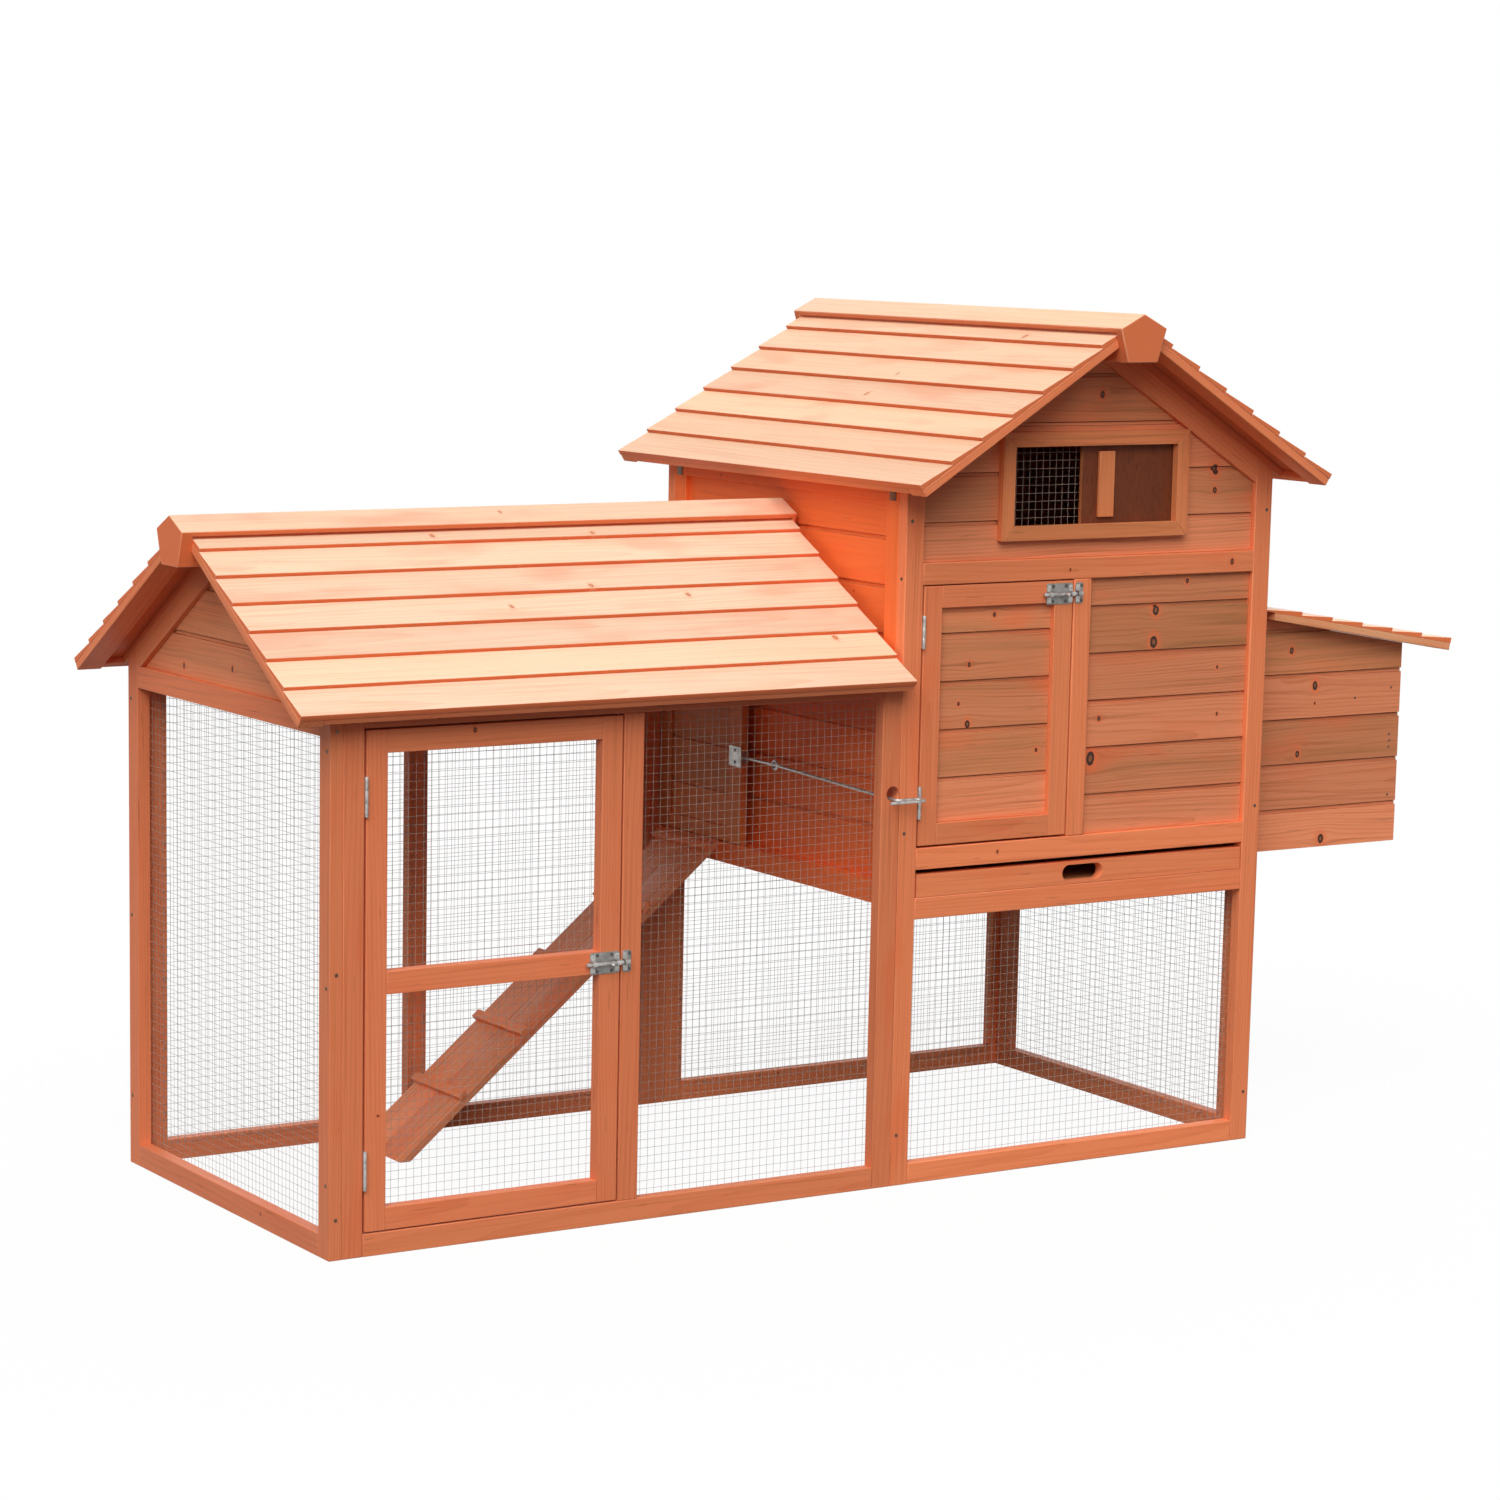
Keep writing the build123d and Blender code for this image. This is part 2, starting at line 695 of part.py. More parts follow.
def bolt_rod():
    """Add a bolt with its knob, its tip just short of the keeper."""
    x0 = bolt_plate_x0 - BOLT_TAIL
    x1 = keeper_x0 - BOLT_TIP_GAP
    with Locations(Location(((x0 + x1) / 2, 0, BOLT_LIFT), LAID_ALONG_X)):
        Cylinder(BOLT_R, x1 - x0)
    with Locations((-KNOB_X, 0, (BOLT_LIFT + KNOB_TOP) / 2)):
        Cylinder(KNOB_R, KNOB_TOP - BOLT_LIFT)


house_door_x0 = BAY_X0 + HINGE_GAP
fixed_x0 = HOUSE_X0 + FIXED_STILE_X
fixed_x1 = fixed_x0 + STILE_W
house_door_x1 = fixed_x0 - LATCH_GAP
run_bolt_plane = bolt_plane(run_door_x1, RUN_BOLT_Z)
house_bolt_plane = bolt_plane(house_door_x1, HOUSE_BOLT_Z)
with BuildPart(run_bolt_plane) as run_bolt_case:
    bolt_case()
with BuildPart(run_bolt_plane) as run_bolt:
    bolt_rod()
with BuildPart(house_bolt_plane) as house_bolt_case:
    bolt_case()
with BuildPart(house_bolt_plane) as house_bolt:
    bolt_rod()
with BuildPart(run_bolt_plane, house_bolt_plane) as bolt_keepers:
    keeper_half = BOLT_PLATE_W / 2
    timber(keeper_x0, keeper_x0 + KEEPER_L, -keeper_half, keeper_half, 0.0, BOLT_PLATE_T)
    bolt_guide(keeper_x0, BOLT_R + KEEPER_PLAY)


# House front and back panels
def house_gable_frame(y0, y1, rail_levels):
    """Add the stiles, level rails and sloping rails of one house gable."""
    for side in SIDES:
        prism_y(placed(house_roof.stile(0.0), HOUSE_XC, side), y0, y1)
        prism_y(placed(house_roof.gable_rail(FRIEZE_TOP), HOUSE_XC, side), y0, y1)
    prism_y(house_roof.ridge(HOUSE_XC, JOINT), y0, y1, mode=Mode.SUBTRACT)
    for rail_z0, rail_z1 in rail_levels:
        timber(BAY_X0 + JOINT, BAY_X1 - JOINT, y0, y1, rail_z0, rail_z1)
    timber(fixed_x0, fixed_x1, y0, y1, SILL_TOP + JOINT, FRIEZE_Z - JOINT)


def level_boards(x0, x1, y0, z0, z1, first_joint):
    """Add level wall boards between two stiles of a panel that faces front or back."""
    for low, high in plank_rows(z0, z1, first_joint):
        timber(x0 + JOINT, x1 - JOINT, y0, y0 + BOARD_T, low, high)


def gable_boards(y0):
    """Add the boards that fill a house gable above the frieze rail."""
    for low, high in plank_rows(FRIEZE_TOP, house_roof.peak_z - RIDGE_DROP, GABLE_JOINT_Z):
        prism_y(house_roof.gable_board(HOUSE_XC, low, high), y0, y0 + BOARD_T)


front_rails = (
    (0.0, STILE_W),
    (TRAY_RAIL_Z, TRAY_RAIL_TOP),
    (SILL_Z, SILL_TOP),
    (FRIEZE_Z, FRIEZE_TOP),
)
back_rails = front_rails + ((TRAY_RAIL_TOP + JOINT, SILL_Z - JOINT),)
front_board_y = FRONT + BOARD_SET
back_board_y = BACK - BOARD_SET - BOARD_T
window_x0 = HOUSE_XC - WINDOW_W / 2 + WINDOW_TRIM - WINDOW_REBATE
window_x1 = HOUSE_XC + WINDOW_W / 2 - WINDOW_TRIM + WINDOW_REBATE
window_z0 = WINDOW_Z + WINDOW_TRIM - WINDOW_REBATE
window_z1 = WINDOW_Z + WINDOW_H - WINDOW_TRIM + WINDOW_REBATE
board_back_y = front_board_y + BOARD_T
with BuildPart() as house_front_frame:
    house_gable_frame(FRONT, FRONT_IN, front_rails)

with BuildPart() as house_front_boards:
    level_boards(fixed_x1, BAY_X1, front_board_y, SILL_TOP, FRIEZE_Z, FIXED_JOINT_Z)
    gable_boards(front_board_y)
    timber(window_x0, window_x1, front_board_y, board_back_y, window_z0, window_z1, mode=Mode.SUBTRACT)

with BuildPart() as house_back_frame:
    house_gable_frame(BACK_IN, BACK, back_rails)

with BuildPart() as house_back_boards:
    level_boards(BAY_X0, fixed_x0, back_board_y, SILL_TOP, FRIEZE_Z, FIXED_JOINT_Z)
    level_boards(fixed_x1, BAY_X1, back_board_y, SILL_TOP, FRIEZE_Z, FIXED_JOINT_Z)
    gable_boards(back_board_y)

low_mesh_z1 = TRAY_RAIL_Z + MESH_LAP
with BuildPart() as house_front_mesh:
    net_y(BAY_X0 - MESH_LAP, BAY_X1 + MESH_LAP, side_mesh_z0, low_mesh_z1, FRONT_IN)
with BuildPart() as house_back_mesh:
    net_y(BAY_X0 - MESH_LAP, BAY_X1 + MESH_LAP, side_mesh_z0, low_mesh_z1, BACK_IN - WIRE)

# Gable window and its shutter
trim_y0 = FRONT - WINDOW_PROUD
trim_outer = rectangle(
    HOUSE_XC - WINDOW_W / 2, HOUSE_XC + WINDOW_W / 2, WINDOW_Z, WINDOW_Z + WINDOW_H
)
trim_inner = rectangle(
    HOUSE_XC - WINDOW_W / 2 + WINDOW_TRIM,
    HOUSE_XC + WINDOW_W / 2 - WINDOW_TRIM,
    WINDOW_Z + WINDOW_TRIM,
    WINDOW_Z + WINDOW_H - WINDOW_TRIM,
)
with BuildPart() as window_frame:
    for corner in range(len(trim_outer)):
        after = (corner + 1) % len(trim_outer)
        level = trim_outer[corner][1] == trim_outer[after][1]
        inset_x = JOINT if level else 0.0
        piece = [trim_outer[corner], trim_outer[after], trim_inner[after], trim_inner[corner]]
        middle_x = sum(x for x, z in piece) / len(piece)
        piece = [(x - math.copysign(inset_x, x - middle_x), z) for x, z in piece]
        prism_y(piece, trim_y0, front_board_y)
    for track_z in (window_z0, window_z1 - TRACK_H):
        track_y0 = front_board_y + JOINT
        timber(window_x0, window_x1, track_y0, board_back_y, track_z, track_z + TRACK_H)

with BuildPart() as window_mesh:
    net_y(
        window_x0 - MESH_LAP,
        window_x1 + MESH_LAP,
        window_z0 - MESH_LAP,
        window_z1 + MESH_LAP,
        board_back_y,
        WINDOW_MESH_PITCH,
    )

shutter_y0 = front_board_y + (BOARD_T - SHUTTER_T) / 2
shutter_x1 = window_x1 - SHUTTER_PLAY
shutter_x0 = shutter_x1 - SHUTTER_W
shutter_z0 = window_z0 + TRACK_H + SHUTTER_PLAY / 2
shutter_z1 = window_z1 - TRACK_H - SHUTTER_PLAY / 2
with BuildPart() as window_shutter:
    timber(shutter_x0, shutter_x1, shutter_y0, shutter_y0 + SHUTTER_T, shutter_z0, shutter_z1)

grip_x0 = shutter_x0 + GRIP_OFFSET
with BuildPart() as shutter_grip:
    timber(
        grip_x0,
        grip_x0 + GRIP_W,
        shutter_y0 - GRIP_T,
        shutter_y0,
        shutter_z0 + GRIP_MARGIN,
        shutter_z1 - GRIP_MARGIN,
    )

# House door
house_door_z0 = SILL_TOP + HOUSE_DOOR_FOOT_GAP
house_door_z1 = FRIEZE_Z - HOUSE_DOOR_HEAD_GAP
panel_x0 = house_door_x0 + STILE_W
panel_x1 = house_door_x1 - STILE_W
panel_z0 = house_door_z0 + STILE_W
panel_z1 = house_door_z1 - STILE_W
with BuildPart() as house_door_frame:
    timber(house_door_x0, panel_x0, FRONT, FRONT_IN, house_door_z0, house_door_z1)
    timber(panel_x1, house_door_x1, FRONT, FRONT_IN, house_door_z0, house_door_z1)
    timber(panel_x0 + JOINT, panel_x1 - JOINT, FRONT, FRONT_IN, house_door_z0, panel_z0)
    timber(panel_x0 + JOINT, panel_x1 - JOINT, FRONT, FRONT_IN, panel_z1, house_door_z1)

with BuildPart() as house_door_boards:
    level_boards(panel_x0, panel_x1, front_board_y, panel_z0, panel_z1, DOOR_JOINT_Z)

house_hinge_planes = hinge_planes(BAY_X0 + HINGE_GAP / 2, HOUSE_HINGE_Z)
house_spans = outer_spans(HOUSE_HINGE_H)
with BuildPart(*house_hinge_planes) as house_door_hinges:
    edge_leaf(HOUSE_HINGE_H, house_spans, 1, False)
with BuildPart(*house_hinge_planes) as house_post_hinges:
    edge_leaf(HOUSE_HINGE_H, (middle_span(HOUSE_HINGE_H),), -1, True)

# House side walls
side_y = BACK_IN - STILE_W
pop_y1 = BACK_IN - POP_BACK_GAP
pop_y0 = pop_y1 - POP_WIDTH
pop_hole_y0 = pop_y0 + POP_LAP
pop_hole_y1 = pop_y1 - POP_LAP


def side_frame(x0, x1, foot_z, rail_levels):
    """Add the stiles and rails of one side wall."""
    for side in SIDES:
        y0, y1 = sorted((side * side_y, side * (BACK_IN - JOINT)))
        timber(x0, x1, y0, y1, foot_z, HOUSE_EAVE_Z - JOINT)
    for rail_z in rail_levels:
        timber(x0, x1, JOINT - side_y, side_y - JOINT, rail_z, rail_z + STILE_W - JOINT)


def side_boards(x0, z0, z1, first_joint):
    """Add the level boards of one side wall."""
    for low, high in plank_rows(z0, z1, first_joint):
        timber(x0, x0 + BOARD_T, JOINT - side_y, side_y - JOINT, low, high)


left_x1 = HOUSE_X0 + FRAME_T
left_board_x = HOUSE_X0 + BOARD_SET
with BuildPart() as house_left_frame:
    side_frame(HOUSE_X0, left_x1, SIDE_FOOT_Z, (SIDE_FOOT_Z, HOUSE_TOP_RAIL_Z))

with BuildPart() as house_left_boards:
    side_boards(left_board_x, SIDE_FOOT_Z + STILE_W, HOUSE_TOP_RAIL_Z, SIDE_JOINT_Z)
    pop_hole = (pop_hole_y0, pop_hole_y1, POP_HOLE_Z0, POP_HOLE_Z1)
    timber(left_board_x, left_board_x + BOARD_T, *pop_hole, mode=Mode.SUBTRACT)

# Nest box lid line, needed by the wall that carries it
lid_pitch = math.radians(LID_PITCH)
lid_slope_top = LID_TOP_Z + LID_REACH * math.tan(lid_pitch) - ROOF_BUTT_T / math.cos(lid_pitch)
lid_slope = Slope(HOUSE_X1, lid_slope_top, lid_pitch)
lid_boards = BevelBoards(
    lid_slope, HOUSE_X1 + LID_REACH, LID_EXPOSURE, LID_COURSES, HOUSE_X1 + LID_WALL_GAP
)
lid_lean = lid_pitch - lid_boards.taper
lid_head_x, lid_head_z = lid_boards.course(0)[-1]
leaf_gap = KNUCKLE_R + LEAF_START
lid_pin_x = HOUSE_X1 + leaf_gap
lid_pin_drop = (lid_pin_x - lid_head_x) * math.sin(lid_lean)
lid_pin = (lid_pin_x, lid_head_z + (leaf_gap - lid_pin_drop) / math.cos(lid_lean))
hinge_rail_z = lid_pin[1] - STILE_W / 2 + KNUCKLE_R

right_x0 = HOUSE_X1 - FRAME_T
right_board_x = HOUSE_X1 - BOARD_SET - BOARD_T
with BuildPart() as house_right_frame:
    right_rails = (0.0, TRAY_RAIL_Z, hinge_rail_z, HOUSE_TOP_RAIL_Z)
    side_frame(right_x0, HOUSE_X1, 0.0, right_rails)

nest_half = NEST_WIDTH / 2
nest_hole_y = nest_half - NEST_HOLE_MARGIN
with BuildPart() as house_right_boards:
    side_boards(right_board_x, TRAY_RAIL_TOP, hinge_rail_z, NEST_JOINT_Z)
    nest_hole = (-nest_hole_y, nest_hole_y, NEST_HOLE_Z0, NEST_HOLE_Z1)
    timber(right_board_x, right_board_x + BOARD_T, *nest_hole, mode=Mode.SUBTRACT)
    rail_top = hinge_rail_z + STILE_W
    side_boards(right_board_x, rail_top, HOUSE_TOP_RAIL_Z, rail_top + BOARD_PITCH)

with BuildPart() as house_right_mesh:
    right_mesh_y = side_y + MESH_LAP
    net_x(-right_mesh_y, right_mesh_y, side_mesh_z0, low_mesh_z1, right_x0 - WIRE)

# House roof
roof_y = BACK + HOUSE_GABLE_OVERHANG
with BuildPart() as house_roof_boards:
    for side in SIDES:
        for index in range(ROOF_COURSES):
            prism_y(placed(house_roof.boards.course(index), HOUSE_XC, side), -roof_y, roof_y)
    prism_y(house_roof.ridge(HOUSE_XC, RIDGE_SEAM), -roof_y, roof_y, mode=Mode.SUBTRACT)

with BuildPart() as house_roof_rafters:
    rake_y = roof_y - RAFTER_W
    for side in SIDES:
        for y0 in (-roof_y, rake_y):
            prism_y(placed(house_roof.rafter(), HOUSE_XC, side), y0, y0 + RAFTER_W)
        for y0 in HOUSE_RAFTER_Y0:
            prism_y(placed(house_roof.rafter(RAFTER_SHORT), HOUSE_XC, side), y0, y0 + RAFTER_W)
        prism_y(placed(house_roof.eave_strip(), HOUSE_XC, side), -rake_y + JOINT, rake_y - JOINT)
    prism_y(house_roof.ridge(HOUSE_XC, JOINT), -roof_y, roof_y, mode=Mode.SUBTRACT)

with BuildPart() as house_ridge_beam:
    ridge_y = BACK + HOUSE_RIDGE_OVERHANG
    prism_y(house_roof.ridge(HOUSE_XC), -ridge_y, ridge_y)

with BuildPart() as roof_brackets:
    span = house_roof.half_span
    eave = house_roof.slope.height
    drop = BRACKET_T / math.cos(PITCH)
    bracket = [
        (span, eave(span) - BRACKET_LEG),
        (span + BRACKET_T, eave(span) - BRACKET_LEG),
        (span + BRACKET_T, eave(span + BRACKET_T) - drop - JOINT),
        (span + BRACKET_REACH, eave(span + BRACKET_REACH) - drop - JOINT),
        (span + BRACKET_REACH, eave(span + BRACKET_REACH) - JOINT),
        (span, eave(span) - JOINT),
    ]
    bracket_y = BACK_IN - STILE_W / 2
    for wall in SIDES:
        for side in SIDES:
            y_mid = side * bracket_y
            half_w = BRACKET_W / 2
            prism_y(placed(bracket, HOUSE_XC, wall), y_mid - half_w, y_mid + half_w)

# Droppings tray
tray_z0 = TRAY_RAIL_TOP + TRAY_LIFT
tray_x0 = BAY_X0 + TRAY_SIDE_GAP
tray_x1 = BAY_X1 - TRAY_SIDE_GAP
with BuildPart() as tray_front:
    timber(tray_x0, tray_x1, FRONT, FRONT + TRAY_FRONT_T, tray_z0, TRAY_TOP_Z)
    slot_origin = (HOUSE_XC, FRONT + TRAY_FRONT_T, (tray_z0 + TRAY_TOP_Z) / 2)
    with BuildSketch(Plane(origin=slot_origin, x_dir=(1, 0, 0), z_dir=(0, -1, 0))) as finger_slot:
        SlotOverall(SLOT_L, SLOT_W)
    extrude(finger_slot.sketch, amount=TRAY_FRONT_T, mode=Mode.SUBTRACT)

pan_x0 = tray_x0 + TRAY_PAN_INSET
pan_x1 = tray_x1 - TRAY_PAN_INSET
pan_y0 = FRONT + TRAY_FRONT_T + JOINT
pan_y1 = BACK_IN - TRAY_BACK_GAP
pan_wall_z0 = tray_z0 + TRAY_FLOOR_T + JOINT
pan_wall_z1 = tray_z0 + TRAY_FLOOR_T + TRAY_WALL_H
with BuildPart() as tray_pan:
    timber(pan_x0, pan_x1, pan_y0, pan_y1, tray_z0, tray_z0 + TRAY_FLOOR_T)
    timber(pan_x0, pan_x0 + TRAY_WALL_T, pan_y0, pan_y1, pan_wall_z0, pan_wall_z1)
    timber(pan_x1 - TRAY_WALL_T, pan_x1, pan_y0, pan_y1, pan_wall_z0, pan_wall_z1)
    back_x0 = pan_x0 + TRAY_WALL_T + JOINT
    back_x1 = pan_x1 - TRAY_WALL_T - JOINT
    timber(back_x0, back_x1, pan_y1 - TRAY_WALL_T, pan_y1, pan_wall_z0, pan_wall_z1)

with BuildPart() as tray_runners:
    runner_z0 = TRAY_RAIL_TOP - RUNNER_H
    runner_y = BACK_IN - JOINT
    timber(left_x1, left_x1 + RUNNER_W, -runner_y, runner_y, runner_z0, TRAY_RAIL_TOP)
    timber(right_x0 - RUNNER_W, right_x0, -runner_y, runner_y, runner_z0, TRAY_RAIL_TOP)

# Pop door, its guides and its pull
pop_x0 = HOUSE_X0 - GUIDE_T
pop_x1 = pop_x0 + POP_T
pop_mid_x = (pop_x0 + pop_x1) / 2
low_guide_top = SIDE_FOOT_Z + GUIDE_H
pop_z0 = low_guide_top + POP_LIFT
pop_z1 = pop_z0 + POP_HEIGHT
high_guide_z = pop_z1 + POP_LIFT
with BuildPart() as pop_door_guides:
    guide_y = BACK_IN - JOINT
    groove_x0 = pop_mid_x - GROOVE_W / 2
    groove_x1 = pop_mid_x + GROOVE_W / 2
    timber(pop_x0, HOUSE_X0, -guide_y, guide_y, SIDE_FOOT_Z, low_guide_top)
    timber(pop_x0, HOUSE_X0, -guide_y, guide_y, high_guide_z, high_guide_z + GUIDE_H)
    groove = (groove_x0, groove_x1, -guide_y, guide_y)
    timber(*groove, low_guide_top - GROOVE_H, low_guide_top, mode=Mode.SUBTRACT)
    timber(*groove, high_guide_z, high_guide_z + GROOVE_H, mode=Mode.SUBTRACT)

with BuildPart() as pop_door_frame:
    inner_y0 = pop_y0 + POP_STILE
    inner_y1 = pop_y1 - POP_STILE
    tongue = (pop_mid_x - TONGUE_W / 2, pop_mid_x + TONGUE_W / 2)
    for y0, y1 in ((pop_y0, inner_y0), (inner_y1, pop_y1)):
        timber(pop_x0, pop_x1, y0, y1, pop_z0, pop_z1)
        timber(*tongue, y0, y1, pop_z0 - TONGUE_H, pop_z1 + TONGUE_H)
    rail_y = (inner_y0 + JOINT, inner_y1 - JOINT)
    timber(pop_x0, pop_x1, *rail_y, pop_z0, pop_z0 + POP_FOOT_RAIL)
    timber(pop_x0, pop_x1, *rail_y, pop_z1 - POP_STILE, pop_z1)

with BuildPart() as pop_door_boards:
    pop_board = (pop_mid_x - POP_BOARD_T / 2, pop_mid_x + POP_BOARD_T / 2)
    for low, high in plank_rows(pop_z0 + POP_FOOT_RAIL, pop_z1 - POP_STILE, POP_JOINT_Z):
        timber(*pop_board, *rail_y, low, high)

with BuildPart() as pop_door_bracket:
    plate_y0 = pop_y0 - PLATE_T
    timber(pop_x0 - PLATE_T, pop_x0, plate_y0, plate_y0 + PLATE_W, PLATE_Z0, PLATE_Z1)
    tab_z0 = ROD_Z - TAB_H / 2
    timber(pop_x0 - PLATE_T, pop_x1, plate_y0, pop_y0, tab_z0, tab_z0 + TAB_H)

handle_y = FRONT - HANDLE_STANDOFF
handle_far_y = handle_y - HANDLE_GAP
rod_path = (
    (pop_mid_x, plate_y0, ROD_Z),
    (pop_mid_x, plate_y0 - ROD_EYE_REACH, ROD_Z),
    (pop_mid_x, handle_y, ROD_OUT_Z),
    (pop_mid_x + HANDLE_RIGHT, handle_y, ROD_OUT_Z),
    (pop_mid_x + HANDLE_RIGHT, handle_far_y, ROD_OUT_Z),
    (pop_mid_x - HANDLE_LEFT, handle_far_y, ROD_OUT_Z),
)
with BuildPart() as pull_rod:
    with BuildLine() as rod_line:
        FilletPolyline(*rod_path, radius=HANDLE_BEND)
    with BuildSketch(Plane(origin=rod_path[0], x_dir=(1, 0, 0), z_dir=(0, -1, 0))) as rod_section:
        Circle(ROD_R)
    sweep(rod_section.sketch, path=rod_line.wire())
    with Locations(Location(rod_path[1], LAID_ALONG_X)):
        Torus(ROD_EYE_R, ROD_EYE_WIRE)

# Ramp
ramp_x0 = RUN_X0 + RAMP_FOOT_X
ramp_x1 = pop_x0 - JOINT
ramp_angle = math.atan2(RAMP_TOP_Z, ramp_x1 - ramp_x0)
ramp_drop = RAMP_T / math.cos(ramp_angle)
ramp_side = [
    (ramp_x0, 0.0),
    (ramp_x0 + ramp_drop / math.tan(ramp_angle), 0.0),
    (ramp_x1, RAMP_TOP_Z - ramp_drop),
    (ramp_x1, RAMP_TOP_Z),
]
ramp_y0 = FRONT + RAMP_Y0
ramp_y1 = ramp_y0 + 2 * RAMP_BOARD_W + RAMP_GAP
with BuildPart() as ramp_boards:
    prism_y(ramp_side, ramp_y0, ramp_y0 + RAMP_BOARD_W)
    prism_y(ramp_side, ramp_y1 - RAMP_BOARD_W, ramp_y1)

ramp_line = Slope(ramp_x0, 0.0, -ramp_angle)
with BuildPart() as ramp_cleats:
    for index in range(CLEAT_COUNT):
        mid = CLEAT_FIRST + index * CLEAT_PITCH
        low_u = mid - CLEAT_W / 2
        high_u = mid + CLEAT_W / 2
        corners = ((low_u, JOINT), (high_u, JOINT), (high_u, CLEAT_H), (low_u, CLEAT_H))
        cleat = [ramp_line.at(u, v) for u, v in corners]
        prism_y(cleat, ramp_y0 - CLEAT_OVER, ramp_y1 + CLEAT_OVER)

# Nest box
nest_x0 = HOUSE_X1 - BOARD_SET + JOINT
nest_x1 = HOUSE_X1 + NEST_REACH
nest_in_x1 = nest_x1 - BOARD_T


def under_lid(point):
    """Return how much room is left below the lid's battens."""
    return lid_slope.height(point[0], -LID_BATTEN_H) - LID_REST_GAP - point[1]


nest_back_top = lid_slope.height(nest_x0, -LID_BATTEN_H)
nest_end_top = lid_slope.height(nest_x1, -LID_BATTEN_H) - LID_REST_GAP
with BuildPart() as nest_walls:
    for low, high in plank_rows(NEST_Z, nest_back_top, NEST_JOINT_Z):
        outline = clip(rectangle(nest_x0, nest_x1, low, high), under_lid)
        for side in SIDES:
            y0, y1 = sorted((side * nest_half, side * (nest_half - BOARD_T)))
            prism_y(outline, y0, y1)
    end_y = nest_half - BOARD_T - JOINT
    for low, high in plank_rows(NEST_Z, nest_end_top, NEST_JOINT_Z):
        timber(nest_in_x1, nest_x1, -end_y, end_y, low, high)
    for side in SIDES:
        y0, y1 = sorted((side * end_y, side * (end_y - NEST_POST)))
        post = rectangle(nest_in_x1 - NEST_POST, nest_in_x1 - JOINT, NEST_Z + BOARD_T + JOINT, nest_back_top)
        prism_y(clip(post, under_lid), y0, y1)

with BuildPart() as nest_floor:
    floor_x1 = nest_in_x1 - JOINT
    timber(nest_x0, floor_x1, -end_y, end_y, NEST_Z, NEST_Z + BOARD_T)
    divider_z0 = NEST_Z + BOARD_T + JOINT
    timber(nest_x0, floor_x1, -BOARD_T / 2, BOARD_T / 2, divider_z0, DIVIDER_Z1)

lid_y = nest_half + LID_OVERHANG
with BuildPart() as nest_lid_boards:
    for index in range(LID_COURSES):
        prism_y(lid_boards.course(index), -lid_y, lid_y)

with BuildPart() as nest_lid_battens:
    batten_side = rectangle(LID_BATTEN_HEAD, lid_boards.eave_u - RAFTER_SET, -LID_BATTEN_H, 0.0)
    batten = [lid_slope.at(u, v) for u, v in batten_side]
    for y0 in (-lid_y, -LID_BATTEN_W / 2, lid_y - LID_BATTEN_W):
        prism_y(batten, y0, y0 + LID_BATTEN_W)



def lid_hinge_planes(lean):
    """Return the frame of each lid hinge, its first axis dipping by an angle."""
    along = (math.cos(lean), 0, -math.sin(lean))
    spots = [(lid_pin[0], side * LID_HINGE_Y, lid_pin[1]) for side in SIDES]
    return [Plane(origin=spot, x_dir=along, z_dir=(0, -1, 0)) for spot in spots]


lid_spans = outer_spans(LID_HINGE_H)
lid_mid_span = middle_span(LID_HINGE_H)
half_h = LID_HINGE_H / 2
with BuildPart(*lid_hinge_planes(lid_lean)) as nest_lid_hinges:
    timber(leaf_gap, leaf_gap + LEAF_W, -leaf_gap, LEAF_T - leaf_gap, -half_h, half_h)
    for z0, z1 in lid_spans:
        timber(0.0, leaf_gap, -leaf_gap, LEAF_T - leaf_gap, z0 - half_h, z1 - half_h)
    for span in lid_spans:
        leaf_knuckle(LID_HINGE_H, span, True)

with BuildPart(*lid_hinge_planes(0.0)) as nest_wall_hinges:
    wall_leaf = (-leaf_gap, LEAF_T - leaf_gap)
    timber(*wall_leaf, leaf_gap, leaf_gap + LEAF_W, -half_h, half_h)
    timber(*wall_leaf, 0.0, leaf_gap, lid_mid_span[0] - half_h, lid_mid_span[1] - half_h)
    leaf_knuckle(LID_HINGE_H, lid_mid_span, False)
    Cylinder(PIN_R, LID_HINGE_H)

# Perch and screw heads
with BuildPart() as perch_bar:
    perch_x0 = (fixed_x0 + fixed_x1 - PERCH_W) / 2
    perch_y = BACK_IN - JOINT
    timber(perch_x0, perch_x0 + PERCH_W, -perch_y, perch_y, PERCH_Z, PERCH_Z + PERCH_W)

with BuildPart() as panel_screws:
    for z in RUN_SCREW_Z:
        for side in SIDES:
            spot = (RUN_X0 - SCREW_H / 2, side * (BACK - SCREW_EDGE), z)
            with Locations(Location(spot, LAID_ALONG_X)):
                Cylinder(SCREW_R, SCREW_H)
    for z in HOUSE_SCREW_Z:
        for x in (HOUSE_X0 + SCREW_EDGE, HOUSE_X1 - SCREW_EDGE):
            for side in SIDES:
                spot = (x, side * (BACK + SCREW_H / 2), z)
                with Locations(Location(spot, LAID_ALONG_Y)):
                    Cylinder(SCREW_R, SCREW_H)

